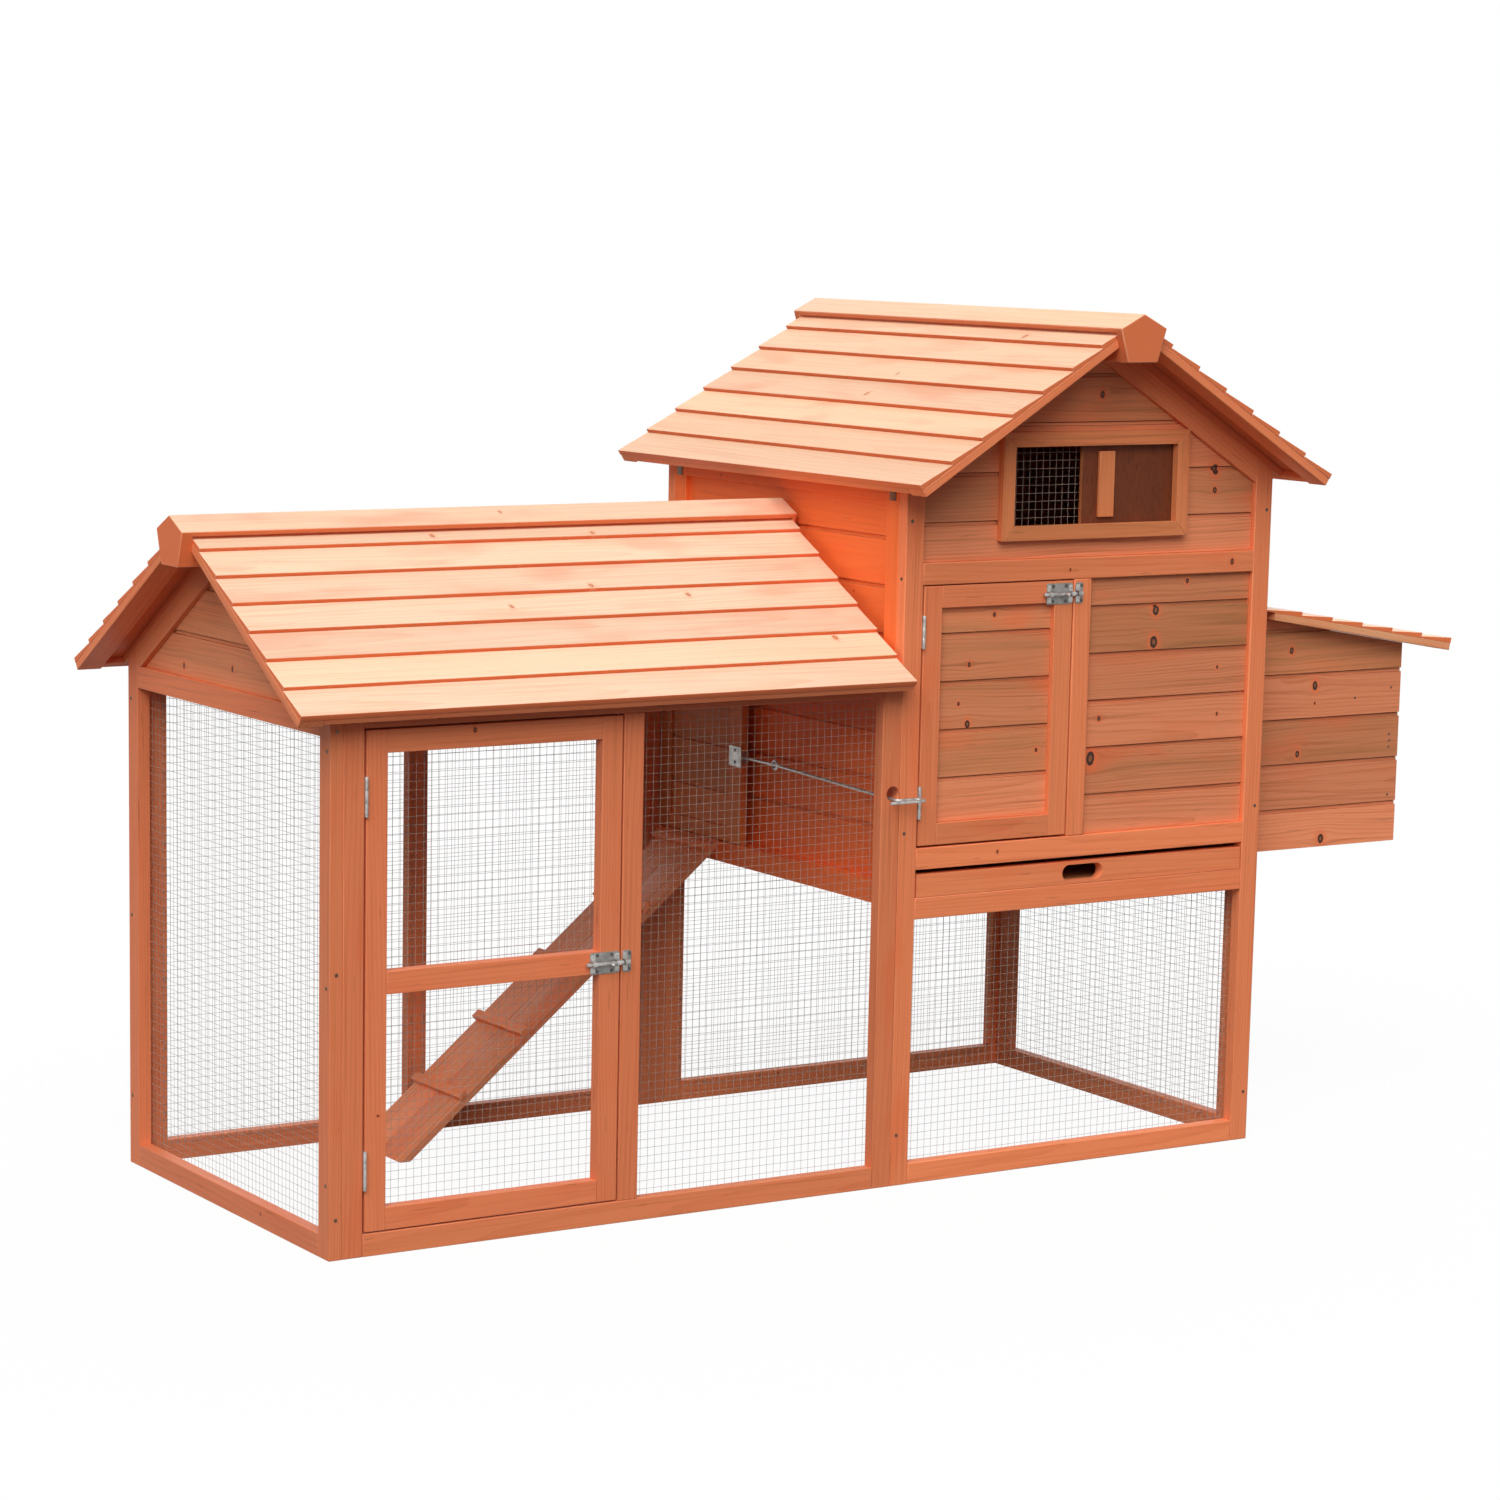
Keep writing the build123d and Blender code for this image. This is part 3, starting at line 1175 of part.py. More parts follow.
PIECES = {
    "run_end_frame": run_end_frame,
    "run_end_boards": run_end_boards,
    "run_end_mesh": run_end_mesh,
    "run_front_frame": run_front_frame,
    "run_front_mesh": run_front_mesh,
    "run_back_frame": run_back_frame,
    "run_back_mesh": run_back_mesh,
    "run_roof_boards": run_roof_boards,
    "run_roof_rafters": run_roof_rafters,
    "run_ridge_beam": run_ridge_beam,
    "run_door_frame": run_door_frame,
    "run_door_mesh": run_door_mesh,
    "run_door_hinges": run_door_hinges,
    "run_post_hinges": run_post_hinges,
    "run_bolt_case": run_bolt_case,
    "run_bolt": run_bolt,
    "bolt_keepers": bolt_keepers,
    "house_front_frame": house_front_frame,
    "house_front_boards": house_front_boards,
    "house_front_mesh": house_front_mesh,
    "house_back_frame": house_back_frame,
    "house_back_boards": house_back_boards,
    "house_back_mesh": house_back_mesh,
    "house_left_frame": house_left_frame,
    "house_left_boards": house_left_boards,
    "house_right_frame": house_right_frame,
    "house_right_boards": house_right_boards,
    "house_right_mesh": house_right_mesh,
    "house_roof_boards": house_roof_boards,
    "house_roof_rafters": house_roof_rafters,
    "house_ridge_beam": house_ridge_beam,
    "roof_brackets": roof_brackets,
    "window_frame": window_frame,
    "window_mesh": window_mesh,
    "window_shutter": window_shutter,
    "shutter_grip": shutter_grip,
    "house_door_frame": house_door_frame,
    "house_door_boards": house_door_boards,
    "house_door_hinges": house_door_hinges,
    "house_post_hinges": house_post_hinges,
    "house_bolt_case": house_bolt_case,
    "house_bolt": house_bolt,
    "tray_front": tray_front,
    "tray_pan": tray_pan,
    "tray_runners": tray_runners,
    "pop_door_frame": pop_door_frame,
    "pop_door_boards": pop_door_boards,
    "pop_door_bracket": pop_door_bracket,
    "pull_rod": pull_rod,
    "pop_door_guides": pop_door_guides,
    "ramp_boards": ramp_boards,
    "ramp_cleats": ramp_cleats,
    "nest_walls": nest_walls,
    "nest_floor": nest_floor,
    "nest_lid_boards": nest_lid_boards,
    "nest_lid_battens": nest_lid_battens,
    "nest_lid_hinges": nest_lid_hinges,
    "nest_wall_hinges": nest_wall_hinges,
    "perch_bar": perch_bar,
    "panel_screws": panel_screws,
}

os.makedirs("parts", exist_ok=True)
for name, piece in PIECES.items():
    piece.part.label = name
    export_step(piece.part, f"parts/{name}.step")
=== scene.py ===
"""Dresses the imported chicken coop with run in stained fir, welded wire and zinc plate.

Each timber solid is cut again with eased arrises, rebated boards and a grain of its own, each
net is woven at its real pitch, and the small fittings are formed in sheet and rod. Lengths are
in metres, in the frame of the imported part.
"""

import json
import logging
import math
import random
from dataclasses import dataclass, replace
from enum import Enum
from typing import Iterable, Iterator, Sequence

import bmesh
import bpy
from mathutils import Matrix, Vector
from mathutils.bvhtree import BVHTree


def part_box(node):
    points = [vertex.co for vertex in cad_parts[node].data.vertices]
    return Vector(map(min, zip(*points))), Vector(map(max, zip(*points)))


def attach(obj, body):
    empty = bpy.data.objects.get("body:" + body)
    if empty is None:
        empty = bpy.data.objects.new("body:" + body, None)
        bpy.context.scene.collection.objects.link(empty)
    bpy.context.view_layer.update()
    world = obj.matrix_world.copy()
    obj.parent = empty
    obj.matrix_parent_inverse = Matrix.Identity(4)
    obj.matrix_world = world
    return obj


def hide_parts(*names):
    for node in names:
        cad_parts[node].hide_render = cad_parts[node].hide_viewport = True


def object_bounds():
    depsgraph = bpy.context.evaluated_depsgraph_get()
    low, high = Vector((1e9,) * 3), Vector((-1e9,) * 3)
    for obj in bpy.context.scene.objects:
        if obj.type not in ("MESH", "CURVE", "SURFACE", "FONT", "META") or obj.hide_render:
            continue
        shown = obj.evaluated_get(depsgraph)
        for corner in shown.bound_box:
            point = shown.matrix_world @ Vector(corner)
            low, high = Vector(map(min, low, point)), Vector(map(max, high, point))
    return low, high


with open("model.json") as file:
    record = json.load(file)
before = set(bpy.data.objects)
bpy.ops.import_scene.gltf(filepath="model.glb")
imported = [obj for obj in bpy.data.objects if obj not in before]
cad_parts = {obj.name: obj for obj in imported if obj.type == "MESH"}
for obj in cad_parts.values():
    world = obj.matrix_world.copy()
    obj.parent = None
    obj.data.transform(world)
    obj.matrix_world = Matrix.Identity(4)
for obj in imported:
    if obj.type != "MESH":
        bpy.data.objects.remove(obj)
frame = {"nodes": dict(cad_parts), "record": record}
CAD_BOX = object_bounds()

LOG = logging.getLogger("coop")
MM = 0.001
WELD = 0.01 * MM
TINY = 1e-6
FLAT_ANGLE = math.radians(0.5)
SHARP_ANGLE = math.radians(25)
SMOOTH_ANGLE = math.radians(40)
MIDDLE = (CAD_BOX[0] + CAD_BOX[1]) / 2
HALF = 0.5
AXES = range(3)
X, Y, Z = AXES
SIDES = (-1, 1)
UP = Vector((0, 0, 1))
RIGHTWARD = Vector((1, 0, 0))
LEFTWARD = Vector((-1, 0, 0))
BACKWARD = Vector((0, 1, 0))
FORWARD = Vector((0, -1, 0))
WHITE = (1.0, 1.0, 1.0)
WALL_ARRIS = 0.6 * MM
SHEET_ARRIS = 0.5 * MM
SEAM_ARRIS = 1.3 * MM
ROOF_SEGMENTS = 3
HOUSE_BOARDS_Y = -0.339
FRONT_FRAME_Y = -0.348
NEST_FRONT_Y = -0.290
RUN_GABLE_X = -1.009

Colour = tuple[float, float, float]
Place = tuple[float, float, float]
Pair = tuple[float, float]
Outline = list[Pair]
Box = tuple[Vector, Vector]
Mesh = bmesh.types.BMesh
Corner = bmesh.types.BMVert
Piece = bpy.types.Object


class Slot(Enum):
    """Material slots of the record."""

    FRAME = "frame_timber"
    WALL = "wall_boards"
    ROOF = "roof_timber"
    PLY = "plywood"
    WIRE = "mesh_wire"
    ZINC = "zinc_hardware"


class Grain(Enum):
    """Ways to choose the direction of a timber's grain."""

    LONGEST = "longest"
    UPRIGHT = "upright"


def linear(step: int) -> float:
    """Turn one share of a colour as seen, in steps of 0 to 255, into light.

    Args:
        step: The share as seen.

    Returns:
        The linear share.
    """
    top, knee, slope, lift, power = 255, 0.04045, 12.92, 0.055, 2.4
    share = step / top
    return share / slope if share <= knee else ((share + lift) / (1 + lift)) ** power


def stain(red: int, green: int, blue: int) -> Colour:
    """Turn a colour as seen into the light that a shader works with."""
    return (linear(red), linear(green), linear(blue))


def body_of(node: str) -> str:
    """Find the body that carries a node.

    Args:
        node: Name of a node of the part.

    Returns:
        The body's name.
    """
    for body, nodes in frame["record"]["behaviour"]["bodies"].items():
        if node in nodes:
            return body
    raise KeyError(node)


class Signal:
    """A number carried by a node socket, so that shader sums read like plain ones."""

    def __init__(self, bench: "NodeBench", socket: bpy.types.NodeSocket) -> None:
        """Keep the socket and the bench that made it."""
        self.bench = bench
        self.socket = socket

    def __add__(self, other: "Signal | float") -> "Signal":
        """Sum of two numbers."""
        return self.bench.math("ADD", self, other)

    def __sub__(self, other: "Signal | float") -> "Signal":
        """Difference of two numbers."""
        return self.bench.math("SUBTRACT", self, other)

    def __rsub__(self, other: float) -> "Signal":
        """Difference from a plain number."""
        return self.bench.math("SUBTRACT", other, self)

    def __mul__(self, other: "Signal | float") -> "Signal":
        """Product of two numbers."""
        return self.bench.math("MULTIPLY", self, other)

    def __truediv__(self, other: "Signal | float") -> "Signal":
        """Quotient of two numbers."""
        return self.bench.math("DIVIDE", self, other)

    def __pow__(self, other: float) -> "Signal":
        """Power of a number."""
        return self.bench.math("POWER", self, other)

    def fraction(self) -> "Signal":
        """Part after the point."""
        return self.bench.math("FRACT", self)

    def at_most(self, limit: "Signal | float") -> "Signal":
        """Smaller of two numbers."""
        return self.bench.math("MINIMUM", self, limit)

    def at_least(self, limit: "Signal | float") -> "Signal":
        """Larger of two numbers."""
        return self.bench.math("MAXIMUM", self, limit)

    def step(self, low: float, high: float) -> "Signal":
        """Ease from 0 to 1 between two values.

        Args:
            low: Where it leaves 0.
            high: Where it reaches 1.

        Returns:
            The eased number.
        """
        made = self.bench.node("ShaderNodeMapRange", interpolation_type="SMOOTHSTEP")
        for name, value in (("Value", self), ("From Min", low), ("From Max", high)):
            self.bench.feed(made.inputs[name], value)
        return Signal(self.bench, made.outputs[0])


class NodeBench:
    """Adds and links the nodes of one material or world."""

    COLOUR_A = 6
    COLOUR_B = 7
    COLOUR_OUT = 2

    def __init__(self, tree: bpy.types.NodeTree) -> None:
        """Start with an empty tree."""
        self.tree = tree
        tree.nodes.clear()

    def node(self, kind: str, **settings: object) -> bpy.types.Node:
        """Add a node.

        Args:
            kind: Name of the node type.
            settings: Properties to set on it.

        Returns:
            The new node.
        """
        made = self.tree.nodes.new(kind)
        for name, value in settings.items():
            setattr(made, name, value)
        return made

    def feed(self, socket: bpy.types.NodeSocket, value: object) -> None:
        """Link a socket to a signal, or set it to a plain value.

        Args:
            socket: The input to fill.
            value: A signal, a socket, a colour or a number.
        """
        if isinstance(value, Signal):
            value = value.socket
        if isinstance(value, bpy.types.NodeSocket):
            self.tree.links.new(value, socket)
        elif socket.type == "RGBA":
            socket.default_value = (*value, 1.0)
        else:
            socket.default_value = value

    def math(self, operation: str, *values: object) -> Signal:
        """Add one sum.

        Args:
            operation: Name of the sum.
            values: Its inputs.

        Returns:
            The result.
        """
        made = self.node("ShaderNodeMath", operation=operation)
        for socket, value in zip(made.inputs, values):
            self.feed(socket, value)
        return Signal(self, made.outputs[0])

    def number(self, name: str) -> Signal:
        """Read a number that the mesh carries."""
        made = self.node("ShaderNodeAttribute", attribute_name=name)
        return Signal(self, made.outputs["Fac"])

    def split(self, joined: bpy.types.NodeSocket) -> tuple[Signal, ...]:
        """Take three joined numbers apart.

        Args:
            joined: The socket that carries them.

        Returns:
            The three numbers.
        """
        parts = self.node("ShaderNodeSeparateXYZ")
        self.feed(parts.inputs[0], joined)
        return tuple(Signal(self, socket) for socket in parts.outputs)

    def triple(self, name: str) -> tuple[Signal, ...]:
        """Read three numbers that the mesh carries."""
        made = self.node("ShaderNodeAttribute", attribute_name=name)
        return self.split(made.outputs["Vector"])

    def noise(self, place: Sequence[Signal], detail: float = 2.0) -> Signal:
        """Add a soft random field.

        Args:
            place: The three numbers that it varies with, one unit to a blot.
            detail: How many finer fields are added.

        Returns:
            A number about one half.
        """
        joined = self.node("ShaderNodeCombineXYZ")
        for socket, value in zip(joined.inputs, place):
            self.feed(socket, value)
        made = self.node("ShaderNodeTexNoise")
        self.feed(made.inputs["Vector"], joined.outputs[0])
        self.feed(made.inputs["Scale"], 1.0)
        self.feed(made.inputs["Detail"], detail)
        return Signal(self, made.outputs[0])

    def mix(self, share: object, first: object, second: object) -> object:
        """Blend two colours.

        Args:
            share: How much of the second colour shows.
            first: A colour or a socket.
            second: A colour or a socket.

        Returns:
            The socket with the result.
        """
        made = self.node("ShaderNodeMix", data_type="RGBA", blend_type="MIX", clamp_factor=True)
        self.feed(made.inputs[0], share)
        self.feed(made.inputs[self.COLOUR_A], first)
        self.feed(made.inputs[self.COLOUR_B], second)
        return made.outputs[self.COLOUR_OUT]

    def bump(self, height: Signal, distance: float, strength: float) -> object:
        """Turn a height into a normal.

        Args:
            height: The height, about 0 to 1.
            distance: What a height of 1 stands for, in metres.
            strength: Share of the effect.

        Returns:
            The socket with the normal.
        """
        made = self.node("ShaderNodeBump")
        self.feed(made.inputs["Height"], height)
        self.feed(made.inputs["Distance"], distance)
        self.feed(made.inputs["Strength"], strength)
        return made.outputs[0]

    def surface(self, shader: object, target: str = "ShaderNodeOutputMaterial") -> None:
        """Send a shader to the output."""
        made = self.node(target)
        self.feed(made.inputs["Surface"], shader)

    def principled(self, **inputs: object) -> None:
        """Add the main shader and send it to the output.

        Args:
            inputs: Socket names, with _ for a space, and their values.
        """
        made = self.node("ShaderNodeBsdfPrincipled")
        for name, value in inputs.items():
            self.feed(made.inputs[name.replace("_", " ")], value)
        self.surface(made.outputs[0])


@dataclass(frozen=True)
class Finish:
    """Base of the finishes: a name and one shared material."""

    name: str

    def dress(self, bench: NodeBench) -> None:
        """Add the finish's nodes."""
        raise NotImplementedError

    def material(self) -> bpy.types.Material:
        """Make the finish's material on first use.

        Returns:
            The material that all pieces in this finish share.
        """
        found = bpy.data.materials.get(self.name)
        if found:
            return found
        made = bpy.data.materials.new(self.name)
        made.use_nodes = True
        self.dress(NodeBench(made.node_tree))
        return made


@dataclass(frozen=True)
class Field:
    """Scale of a soft random field in wood, in blots to a metre."""

    along: float
    across: float
    detail: float = 2.0
    shift: float = 0.0

    def lay(self, bench: NodeBench, along: Signal, across: Signal, depth: Signal) -> Signal:
        """Add the field's nodes.

        Args:
            bench: Where the nodes go.
            along: Place along the grain.
            across: Place across the grain.
            depth: Place through the thickness.

        Returns:
            A number about one half.
        """
        place = (along * self.along + self.shift, across * self.across, depth * self.across)
        return bench.noise(place, self.detail)


@dataclass(frozen=True)
class StainedFir(Finish):
    """Fir under a thin stain: growth rings, fibres, blushes, knots, pale arrises that show wear and a
    painted highlight, and an edge colour that is painted shade on rebated boards' ledges.
    """

    pale: Colour
    deep: Colour
    olive: Colour
    flush: Colour
    # Pale arrises: partly wear, partly painted highlight where edges catch the light.
    worn_highlight: Colour
    # Edge colour: painted shade on the upward ledges of rebated boards, and the colour of a roof board's
    # sides below its painted-highlight top.
    edge: Colour
    knot: Colour
    knot_rim: Colour
    ring_width: float = 4.6 * MM
    ring_depth: float = 0.42
    fibre_depth: float = 0.4
    line_depth: float = 0.9
    line_dark: float = 0.22
    tone_depth: float = 0.1
    olive_depth: float = 0.5
    flush_depth: float = 0.6
    fleck_depth: float = 0.3
    worn_highlight_share: float = 0.5
    knot_chance: float = 0.2
    knot_radius: Pair = (1.5 * MM, 4.0 * MM)
    roughness: float = 0.58

    BEND = Field(1.7, 7.0, 1.0)
    BEND_REACH = 20 * MM
    RIPPLE = Field(16.0, 70.0)
    RIPPLE_REACH = 1.6 * MM
    SLANT = 0.014
    LATE_POWER = 2.2
    FIBRE = Field(11.0, 900.0)
    LINE = Field(2.6, 190.0, 4.0, 160.0)
    LINE_SPAN = (0.56, 0.74)
    STREAK = Field(1.6, 42.0, 3.0, 40.0)
    STREAK_SPAN = (0.42, 0.72)
    BLUSH = Field(5.0, 16.0, 2.0, 80.0)
    BLUSH_SPAN = (0.48, 0.7)
    FLECK = Field(15.0, 190.0, 1.0, 120.0)
    FLECK_SPAN = (0.7, 0.78)
    SCUFF = Field(60.0, 60.0)
    SCUFF_WOBBLE = 0.5
    KNOT_FLOW = 0.3
    KNOT_SWELL = 2.0
    KNOT_SOFTEN = 0.7
    KNOT_OVAL = 2.0
    HALO_SPAN = (0.9, 2.8)
    HALO_SHARE = 0.55
    CORE_SPAN = (0.85, 1.1)
    CORE_SHARE = 0.92
    RIM_SPAN = (0.3, 0.62)
    RIM_SHARE = 0.95
    RING_HEIGHT = 0.45
    FIBRE_HEIGHT = 0.6
    KNOT_HEIGHT = 1.2
    FIBRE_ROUGH = 0.22
    RING_GLOSS = 0.08
    SPECULAR = 0.3
    BUMP_DISTANCE = 0.35 * MM
    BUMP_STRENGTH = 0.5

    def round_knot(
        self, bench: NodeBench, along: Signal, across: Signal, name: str
    ) -> tuple[Signal, Signal]:
        """Lead the grain round one knot.

        Args:
            bench: Where the nodes go.
            along: Place along the grain.
            across: Place across the grain.
            name: The mesh layer with the knot's place and radius.

        Returns:
            The bent place across the grain, and the distance from the knot in its own radii.
        """
        knot_along, knot_across, radius = bench.triple(name)
        run = along - knot_along
        rise = across - knot_across
        run_square = run * run
        rise_square = rise * rise
        reach = radius * radius * self.KNOT_SWELL
        room = run_square * self.KNOT_FLOW + rise_square + reach * self.KNOT_SOFTEN + TINY * TINY
        distance = (run_square * self.KNOT_OVAL + rise_square) ** HALF / (radius + TINY)
        return across - rise * (reach / room).at_most(1.0), distance

    def dress(self, bench: NodeBench) -> None:
        """Add the nodes of the stained wood.

        Args:
            bench: Where the nodes go.
        """
        along, across, depth = bench.triple("grain")
        seed, pith_across, pith_depth = bench.triple("pith")
        light, olive, red = bench.triple("tone")
        start = along + seed

        bend = self.BEND.lay(bench, start, across, depth) - HALF
        lines, near_a = self.round_knot(bench, along, across + bend * self.BEND_REACH, "knot_a")
        lines, near_b = self.round_knot(bench, along, lines, "knot_b")
        ripple = self.RIPPLE.lay(bench, start, across, depth) - HALF
        side = lines + pith_across
        deep = depth + pith_depth
        radius = (side * side + deep * deep) ** HALF + ripple * self.RIPPLE_REACH + along * self.SLANT
        late = (radius / self.ring_width).fraction() ** self.LATE_POWER
        fibre = self.FIBRE.lay(bench, start, lines, depth)
        pencil = self.LINE.lay(bench, start, lines, depth)
        streak = self.STREAK.lay(bench, start, lines, depth).step(*self.STREAK_SPAN)
        blush = self.BLUSH.lay(bench, start, lines, depth).step(*self.BLUSH_SPAN)
        fleck = self.FLECK.lay(bench, start, lines, depth).step(*self.FLECK_SPAN)
        scuff = self.SCUFF.lay(bench, start, across, depth)

        fine = (fibre - HALF) * self.fibre_depth + (pencil - HALF) * self.line_depth
        colour = bench.mix(late * self.ring_depth + fine, self.pale, self.deep)
        olive_share = (streak * HALF + HALF) * olive * self.olive_depth
        colour = bench.mix(olive_share, colour, self.olive)
        colour = bench.mix(blush * red * self.flush_depth, colour, self.flush)
        colour = bench.mix(fleck * self.fleck_depth, colour, self.knot)
        colour = bench.mix(pencil.step(*self.LINE_SPAN) * self.line_dark, colour, self.knot)
        tint = bench.node("ShaderNodeHueSaturation")
        bench.feed(tint.inputs["Value"], light * self.tone_depth + 1.0)
        bench.feed(tint.inputs["Color"], colour)
        # Rebated wall boards take the edge colour on their upward ledges as painted shade; roof boards take
        # it on their sides, below tops painted pale as a highlight.
        colour = bench.mix(bench.number("edge"), tint.outputs[0], self.edge)
        # Pale arrises: partly wear, partly painted highlight where edges catch the light.
        colour = bench.mix(bench.number("arris") * scuff * self.worn_highlight_share, colour, self.worn_highlight)
        wobble = (scuff - HALF) * self.SCUFF_WOBBLE
        hollow = None
        for near in (near_a + wobble, near_b + wobble):
            halo = 1.0 - near.step(*self.HALO_SPAN)
            core = 1.0 - near.step(*self.CORE_SPAN)
            ring = core * near.step(*self.RIM_SPAN)
            colour = bench.mix(halo * self.HALO_SHARE, colour, self.flush)
            colour = bench.mix(core * self.CORE_SHARE, colour, self.knot)
            colour = bench.mix(ring * self.RIM_SHARE, colour, self.knot_rim)
            hollow = ring if hollow is None else hollow.at_least(ring)
        height = late * self.RING_HEIGHT + fibre * self.FIBRE_HEIGHT - hollow * self.KNOT_HEIGHT
        rough = self.roughness - self.FIBRE_ROUGH * HALF
        bench.principled(
            Base_Color=colour,
            Roughness=fibre * self.FIBRE_ROUGH + rough - late * self.RING_GLOSS,
            Specular_IOR_Level=self.SPECULAR,
            Normal=bench.bump(height, self.BUMP_DISTANCE, self.BUMP_STRENGTH),
        )


@dataclass(frozen=True)
class Plywood(Finish):
    """Rotary-cut ply with short dark pores along the grain."""

    pale: Colour
    deep: Colour
    pore: Colour
    raw: Colour
    roughness: float = 0.6
    knot_chance: float = 0.0
    knot_radius: Pair = (0.0, 0.0)

    CLOUD = Field(9.0, 30.0, 3.0)
    CLOUD_SHARE = 0.6
    FIBRE = Field(26.0, 900.0)
    FIBRE_SHARE = 0.7
    PALE_LEAN = 0.2
    PORE = Field(60.0, 1100.0, 1.0)
    PORE_SPAN = (0.56, 0.7)
    PORE_SHARE = 0.75
    PLIES = 700.0
    PLY_SPAN = (0.35, 0.65)
    PLY_SHARE = 0.4
    FIBRE_ROUGH = 0.2
    PORE_DEPTH = 0.8
    SPECULAR = 0.25
    BUMP_DISTANCE = 0.25 * MM
    BUMP_STRENGTH = 0.5

    def dress(self, bench: NodeBench) -> None:
        """Add the nodes of the ply.

        Args:
            bench: Where the nodes go.
        """
        along, across, depth = bench.triple("grain")
        start = along + bench.triple("pith")[0]
        layer = (depth * self.PLIES).fraction().step(*self.PLY_SPAN)
        cloud = self.CLOUD.lay(bench, start, across, depth)
        fibre = self.FIBRE.lay(bench, start, across, depth)
        pores = self.PORE.lay(bench, start, across, depth).step(*self.PORE_SPAN)
        share = cloud * self.CLOUD_SHARE + fibre * self.FIBRE_SHARE - self.PALE_LEAN
        colour = bench.mix(share, self.pale, self.deep)
        colour = bench.mix(pores * self.PORE_SHARE, colour, self.pore)
        colour = bench.mix(bench.number("edge"), colour, self.raw)
        colour = bench.mix(bench.number("arris") * layer * self.PLY_SHARE, colour, self.pore)
        bench.principled(
            Base_Color=colour,
            Roughness=fibre * self.FIBRE_ROUGH + (self.roughness - self.FIBRE_ROUGH / 2),
            Specular_IOR_Level=self.SPECULAR,
            Normal=bench.bump(fibre - pores * self.PORE_DEPTH, self.BUMP_DISTANCE, self.BUMP_STRENGTH),
        )


@dataclass(frozen=True)
class ZincPlate(Finish):
    """Plated steel with faint rolling lines, darker dull patches and bright edges; patches and edges are
    partly patina and rubbing, partly painted reflection and glint.
    """

    bright: Colour
    dull_and_reflection: Colour
    roughness: float
    metallic: float = 1.0
    shine: float = 0.5

    PATCH = 110.0
    PATCH_DETAIL = 3.0
    LINE = 2600.0
    LINE_DETAIL = 1.0
    PATCH_SPAN = (0.35, 0.7)
    PATCH_SHARE = 0.5
    RUB_AND_GLINT_SHARE = 0.5
    PATCH_ROUGH = 0.25
    LINE_ROUGH = 0.08
    LINE_HEIGHT = 0.4
    BUMP_DISTANCE = 0.05 * MM
    BUMP_STRENGTH = 0.4

    def dress(self, bench: NodeBench) -> None:
        """Add the nodes of the plated steel.

        Args:
            bench: Where the nodes go.
        """
        x, y, z = bench.split(bench.node("ShaderNodeTexCoord").outputs["Object"])
        cloud = bench.noise((x * self.PATCH, y * self.PATCH, z * self.PATCH), self.PATCH_DETAIL)
        lines = bench.noise((x * self.PATCH, y * self.PATCH, z * self.LINE), self.LINE_DETAIL)
        # Darker patches and bright edges: partly patina and rubbing, partly painted reflection and glint.
        share = cloud.step(*self.PATCH_SPAN) * self.PATCH_SHARE - bench.number("arris") * self.RUB_AND_GLINT_SHARE
        rough = self.roughness - (self.PATCH_ROUGH + self.LINE_ROUGH) / 2
        bench.principled(
            Base_Color=bench.mix(share, self.bright, self.dull_and_reflection),
            Metallic=self.metallic,
            Specular_IOR_Level=self.shine,
            Roughness=cloud * self.PATCH_ROUGH + lines * self.LINE_ROUGH + rough,
            Normal=bench.bump(lines * self.LINE_HEIGHT + cloud, self.BUMP_DISTANCE, self.BUMP_STRENGTH),
        )


FRAME_FIR = StainedFir(
    name="frame_fir",
    pale=stain(244, 140, 92),
    deep=stain(216, 106, 62),
    olive=stain(196, 124, 78),
    flush=stain(240, 112, 64),
    worn_highlight=stain(246, 164, 116),
    edge=stain(228, 120, 74),
    knot=stain(128, 66, 36),
    knot_rim=stain(70, 36, 20),
    ring_depth=0.36,
    fibre_depth=0.3,
    line_dark=0.16,
    olive_depth=0.35,
    worn_highlight_share=0.3,
    knot_chance=0.06,
)
# A darker copy of the frame colours, used on all the run's frames.
RUN_FIR = replace(
    FRAME_FIR,
    name="run_fir",
    pale=stain(230, 130, 86),
    deep=stain(198, 98, 58),
    flush=stain(224, 104, 60),
    worn_highlight=stain(238, 152, 106),
    edge=stain(212, 110, 68),
)
WEATHERED_FIR = replace(
    FRAME_FIR,
    name="weathered_fir",
    pale=stain(248, 176, 128),
    deep=stain(214, 138, 92),
    olive=stain(200, 148, 100),
    olive_depth=0.7,
)
WALL_FIR = StainedFir(
    name="wall_fir",
    pale=stain(240, 148, 104),
    deep=stain(202, 108, 64),
    olive=stain(166, 110, 66),
    flush=stain(240, 112, 66),
    worn_highlight=stain(236, 156, 110),
    # Painted shade on the upward ledges of the rebated boards.
    edge=stain(146, 64, 34),
    knot=stain(124, 78, 50),
    knot_rim=stain(44, 24, 16),
    ring_depth=0.5,
    line_depth=1.3,
    line_dark=0.28,
    tone_depth=0.14,
    olive_depth=0.95,
    worn_highlight_share=0.2,
    knot_chance=0.2,
    knot_radius=(2.0 * MM, 5.0 * MM),
)
GABLE_FIR = replace(
    WALL_FIR,
    name="gable_fir",
    pale=stain(246, 152, 106),
    deep=stain(214, 116, 70),
    olive_depth=0.45,
)
